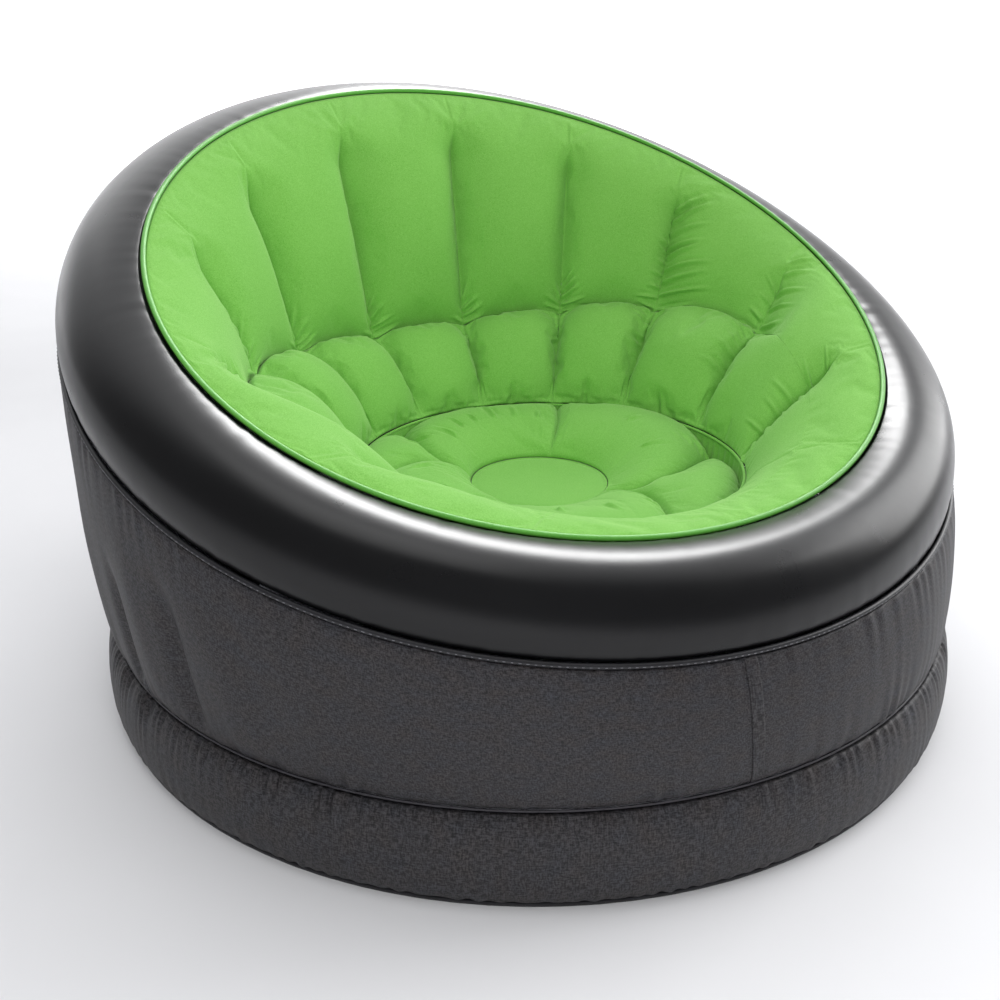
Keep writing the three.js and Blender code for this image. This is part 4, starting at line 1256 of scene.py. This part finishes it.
# Seat cushion
# The round seat, a flocked sheet from the well up to a flat middle. Six creases run in to the middle and part it into
# puffs; two pairs of them meet at one point of the middle's edge, as the weld there draws both.
SEAT_COLUMNS = 960
SEAT_ROWS = 76
SEAT_BACK_BULGE_SHARE = 0.51
SEAT_FRONT_BULGE_SHARE = 0.30
SEAT_BACK_ROUND_POWER = 0.50
SEAT_FRONT_ROUND_POWER = 0.85
SEAT_LEAN_SHARE = 0.44
BACK_FROM = 0.6
SEAT_SLACK_SHARE = 0.3
WEDGE = 0.060
GROOVE_WIDTH = 0.0030
GROOVE_DEPTH = 0.012
CREASE_HELD = (0.003, 0.010)
SEAT_WRINKLE_SEED = 8
# Each crease: its angle at the middle's edge and at the seat's edge, in degrees, and how deep a valley it lies in
SEAT_CREASES = (
    (46, 52, 0.10),
    (142, 113, 0.30),
    (142, 165, 0.30),
    (212, 210, 0.35),
    (306, 275, 0.30),
    (306, 348, 0.55),
)
BUTTON = {"width": 0.088, "depth": 0.088, "middle": -0.029, "height": 0.244, "rise": 0, "lift": 0, "half": 0}
seat_angles = loop_angles(SEAT_COLUMNS)
seat_shares = shares(SEAT_ROWS)[None]
inner, outer = (np.radians([crease[end] for crease in SEAT_CREASES])[:, None] for end in (0, 1))
valley = np.array([crease[2] for crease in SEAT_CREASES])
crease_at = outer + (inner - outer) * smooth(0, 1, seat_shares)
away = (seat_angles[:, None, None] - crease_at[None]) % TURN
radius_at = WELL["width"] + (BUTTON["width"] - WELL["width"]) * seat_shares
ahead, behind = away.min(1), (TURN - away).min(1)
across = ahead / (ahead + behind)
first, second = valley[away.argmin(1)], valley[(TURN - away).argmin(1)]
swell = crown(across) * smooth(0, WEDGE, (ahead + behind) * radius_at)
hollow = (first + (second - first) * smooth(0, 1, across)) * (1 - swell)
nearest = np.minimum(ahead, behind) * radius_at
groove = GROOVE_DEPTH * arch(seat_shares) ** 0.5 * np.exp(-nearest / GROOVE_WIDTH)
backness = smooth(-1, BACK_FROM, np.sin(seat_angles))[:, None]
seat_bulge = SEAT_FRONT_BULGE_SHARE + (SEAT_BACK_BULGE_SHARE - SEAT_FRONT_BULGE_SHARE) * backness
seat_power = SEAT_FRONT_ROUND_POWER + (SEAT_BACK_ROUND_POWER - SEAT_FRONT_ROUND_POWER) * backness
seat_points = trimmed_run(on_seam(WELL, seat_angles), on_seam(BUTTON, seat_angles), 0, 0, seat_shares,
                          lambda length, share: seat_bulge * length * arch(share ** SEAT_LEAN_SHARE) ** seat_power
                          * (1 - hollow))
seat_held = 1 - smooth(*CREASE_HELD, nearest)
seat_held[:, [0, -1]] = 1
seat_points = inflated("seat_air", seat_points, seat_held, np.full(seat_held.shape, SEAT_SLACK_SHARE))
# The fans of wrinkles on the seat, from its outer edge in, and single short ones round the middle's edge
SEAT_FANS = (
    (-30, 1, -0.003, -0.003, -80, -20, 5, 0.055, 0.0016),
    (-30, -1, -0.003, -0.003, -80, -20, 5, 0.055, 0.0016),
    (113, 1, -0.004, -0.004, -70, -30, 3, 0.040, 0.0012),
    (165, -1, -0.004, -0.004, -70, -30, 3, 0.040, 0.0012),
    (210, 1, -0.004, -0.004, -70, -25, 4, 0.045, 0.0013),
    (275, 1, -0.004, -0.004, -70, -25, 4, 0.045, 0.0013),
    (275, -1, -0.004, -0.004, -70, -25, 3, 0.045, 0.0010),
    (348, 1, -0.004, -0.090, -60, -25, 5, 0.040, 0.0011),
    (52, -1, -0.004, -0.004, -70, -25, 4, 0.040, 0.0010),
) + tuple((angle, 1, -0.147, -0.147, 88, 88, 1, length, 0.0013) for angle, length in (
    (58, 0.030), (70, 0.040), (81, 0.052), (91, 0.040), (101, 0.055), (111, 0.042), (120, 0.050), (130, 0.035),
    (-30, 0.034), (-12, 0.028), (12, 0.036), (-75, 0.030), (-96, 0.036), (-118, 0.028), (165, 0.030), (188, 0.036),
))
seat_points[..., 2] -= groove
seat_points = wrinkled(seat_points, seat_angles, 0, SEAT_FANS, SEAT_WRINKLE_SEED)
seat = thick_sheet(mesh_of("flocked_seat", seat_points), FLOCKED)
seat.data.materials.append(FLOCKED_PVC)
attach(seat, "shell")
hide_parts("seat_cushion")

# Seat button
# The flat round middle of the seat, a disc of the flocked sheet, with a pressed weld ring just inside its edge. The
# outline gives the radius and the height of each ring of points, from the underside of the edge to the middle.
BUTTON_COLUMNS = 180
BUTTON_SUNK = 0.0005
button_rows = np.array([(0.0876, -0.0009), (0.0876, -0.0001), (0.0868, 0.0), (0.0850, -0.0005), (0.0826, -0.0006),
                        (0.0808, -0.0001), (0.0780, 0.0002), (0.0500, 0.0004), (0.0200, 0.0002), (0.0004, 0.0002)])
button_angles = loop_angles(BUTTON_COLUMNS)[:, None]
button_points = np.stack([
    button_rows[:, 0] * np.cos(button_angles),
    BUTTON["middle"] + button_rows[:, 0] * np.sin(button_angles),
    BUTTON["height"] - BUTTON_SUNK + button_rows[:, 1] + 0 * button_angles,
], -1)
button = mesh_of("flocked_button", button_points, capped=True)
button.data.materials.append(FLOCKED_PVC)
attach(button, "shell")
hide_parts("seat_button")

# Tie sheets, waist ring, skirt and sleeve
# The hidden webs of 0.5 mm milky vinyl that hold the chair in shape, welded along their edges to the sheets they
# tie. They are flat or evenly round, so the solids are right as they are.
TALC_MM = 29.41


def milky_vinyl():
    """Plain unpigmented vinyl sheet, milky and slightly blue, dusted with the talc that keeps it from sticking."""
    material, tree, shader = new_material("milky_vinyl", {"IOR": 1.53, "Transmission Weight": 0.25})
    place = add_node(tree, "ShaderNodeTexCoord").outputs["Object"]
    talc = add_node(tree, "ShaderNodeTexNoise", {"Scale": per_metre(TALC_MM), "Detail": 6.0}, {"Vector": place})
    colour = add_node(tree, "ShaderNodeMix", {"data_type": "RGBA", 6: linear("#AEB3BB"), 7: linear("#C9CCD2")},
                      {0: talc.outputs["Fac"]})
    tree.links.new(colour.outputs[2], shader.inputs["Base Color"])
    haze = add_node(tree, "ShaderNodeMapRange", {"To Min": 0.35, "To Max": 0.55}, {"Value": talc.outputs["Fac"]})
    tree.links.new(haze.outputs["Result"], shader.inputs["Roughness"])
    return material


MILKY_VINYL = milky_vinyl()
for node in frame["nodes"]:
    if node.startswith("tie_sheet_") or node in ("waist_tie_ring", "seat_well_skirt", "seat_button_sleeve"):
        finish_cad_node(node, MILKY_VINYL)

# Studio
# A pale painted floor with a cloth behind it. Both glow by themselves, painted light with no lamp in them: the floor
# far behind the chair, the cloth all over. Soft lights hang behind, overhead and at the right, and one more is there
# only for the shine of the top band. Two from the left and the front fill the shadows and make no shine.
FLOOR_REACH = 80.0
BACKDROP_DISTANCE = 5.0
BACKDROP_REACH = 8.0
BACKDROP_HEIGHT = 3.0
ROLLED_MM = 333.3
FLOOR_GLOW = 0.45
FLOOR_GLOW_FROM = 1.2
FLOOR_GLOW_FULL = 3.0
away_from_camera = Vector((-back.x, -back.y, 0))


def studio_paint_and_glow():
    """Matt pale paint, very slightly uneven, with painted light: far behind the chair it glows, with no lamp under it.
    """
    material, tree, shader = new_material("studio_paint_and_glow", {"Roughness": 0.85, "Emission Color": linear("#F4F4F6")})
    place = add_node(tree, "ShaderNodeTexCoord").outputs["Object"]
    rolled = add_node(tree, "ShaderNodeTexNoise", {"Scale": per_metre(ROLLED_MM), "Detail": 3.0}, {"Vector": place})
    colour = add_node(tree, "ShaderNodeMix", {"data_type": "RGBA", 6: linear("#DEDEE0"), 7: linear("#E6E6E8")},
                      {0: rolled.outputs["Fac"]})
    tree.links.new(colour.outputs[2], shader.inputs["Base Color"])
    # Painted light: the floor glows more the farther it lies behind the chair
    distance = add_node(tree, "ShaderNodeVectorMath", {"operation": "DOT_PRODUCT", 1: away_from_camera}, {0: place})
    glow = add_node(tree, "ShaderNodeMapRange", {
        "From Min": FLOOR_GLOW_FROM, "From Max": FLOOR_GLOW_FULL, "To Max": FLOOR_GLOW,
    }, {"Value": distance.outputs["Value"]})
    tree.links.new(glow.outputs["Result"], shader.inputs["Emission Strength"])
    return material


floor_mesh = bpy.data.meshes.new("studio_floor")
floor_mesh.from_pydata([(-FLOOR_REACH, -FLOOR_REACH, 0), (FLOOR_REACH, -FLOOR_REACH, 0),
                        (FLOOR_REACH, FLOOR_REACH, 0), (-FLOOR_REACH, FLOOR_REACH, 0)], [], [(0, 1, 2, 3)])
floor = bpy.data.objects.new("studio_floor", floor_mesh)
floor.data.materials.append(studio_paint_and_glow())
bpy.context.scene.collection.objects.link(floor)


def glowing_backdrop():
    """A cloth that glows by itself, painted light with no lamp behind it, slightly brighter towards the floor."""
    material, tree, shader = new_material("glowing_backdrop", {
        "Roughness": 0.9, "Emission Color": linear("#FAFAFC"),
    })
    place = add_node(tree, "ShaderNodeTexCoord").outputs["Object"]
    parts = add_node(tree, "ShaderNodeSeparateXYZ", None, {"Vector": place})
    glow = add_node(tree, "ShaderNodeMapRange", {"From Max": BACKDROP_HEIGHT, "To Min": 1.2, "To Max": 1.0},
                    {"Value": parts.outputs["Z"]})
    tree.links.new(glow.outputs["Result"], shader.inputs["Emission Strength"])
    return material


behind_chair = away_from_camera.normalized() * BACKDROP_DISTANCE
corners = [behind_chair + right * side * BACKDROP_REACH + Vector((0, 0, height))
           for side, height in ((-1, 0), (1, 0), (1, BACKDROP_HEIGHT), (-1, BACKDROP_HEIGHT))]
backdrop_mesh = bpy.data.meshes.new("studio_backdrop")
backdrop_mesh.from_pydata([tuple(corner) for corner in corners], [], [(0, 1, 2, 3)])
backdrop = bpy.data.objects.new("studio_backdrop", backdrop_mesh)
backdrop.data.materials.append(glowing_backdrop())
bpy.context.scene.collection.objects.link(backdrop)


def softbox(name, place, aim, size, power):
    """A large soft area light."""
    lamp = bpy.data.lights.new(name, "AREA")
    lamp.shape = "RECTANGLE"
    lamp.size, lamp.size_y = size
    lamp.energy = power
    thing = bpy.data.objects.new(name, lamp)
    thing.location = place
    thing.rotation_mode = "QUATERNION"
    thing.rotation_quaternion = (Vector(aim) - Vector(place)).to_track_quat("-Z", "Y")
    bpy.context.scene.collection.objects.link(thing)
    return thing


softbox("back_softbox", (0.6, 2.4, 2.2), (0, 0, 0.4), (3.4, 1.8), 10)
band_light = softbox("band_softbox", (1.05, 1.0, 1.96), (-0.3, -0.35, 0.36), (1.4, 0.8), 74)
band_light.visible_diffuse = False
softbox("right_softbox", (2.6, -0.6, 1.5), (0, 0, 0.3), (1.8, 1.8), 50)
softbox("top_softbox", (-0.35, -0.45, 2.7), (0, 0.1, 0.4), (1.4, 1.4), 10)
for fill in (softbox("left_softbox", (-2.2, -1.0, 2.4), (0, 0.1, 0.4), (1.6, 1.6), 8),
             softbox("front_softbox", (-1.1, -2.4, 1.5), (0, 0.1, 0.4), (1.8, 1.4), 36)):
    fill.visible_glossy = False

# The studio's air: pale behind and above the chair, darker on the photographer's side
SKY_TOWARDS = (0.42, 0.66, 0.62)
SKY_DARK = 0.22
SKY_BRIGHT = 1.65
SKY_DARK_BELOW = 0.25
SKY_BRIGHT_ABOVE = 0.95
world = bpy.data.worlds.new("studio_air")
world.use_nodes = True
sky = world.node_tree
direction = add_node(sky, "ShaderNodeTexCoord").outputs["Generated"]
towards = add_node(sky, "ShaderNodeVectorMath", {"operation": "DOT_PRODUCT", 1: SKY_TOWARDS}, {0: direction})
brightness = add_node(sky, "ShaderNodeMapRange", {
    "interpolation_type": "SMOOTHSTEP", "From Min": SKY_DARK_BELOW, "From Max": SKY_BRIGHT_ABOVE,
    "To Min": SKY_DARK, "To Max": SKY_BRIGHT,
}, {"Value": towards.outputs["Value"]})
sky.links.new(brightness.outputs["Result"], sky.nodes["Background"].inputs["Strength"])
sky.nodes["Background"].inputs["Color"].default_value = linear("#F4F5F7")
bpy.context.scene.world = world
bpy.context.scene.view_settings.view_transform = "Standard"
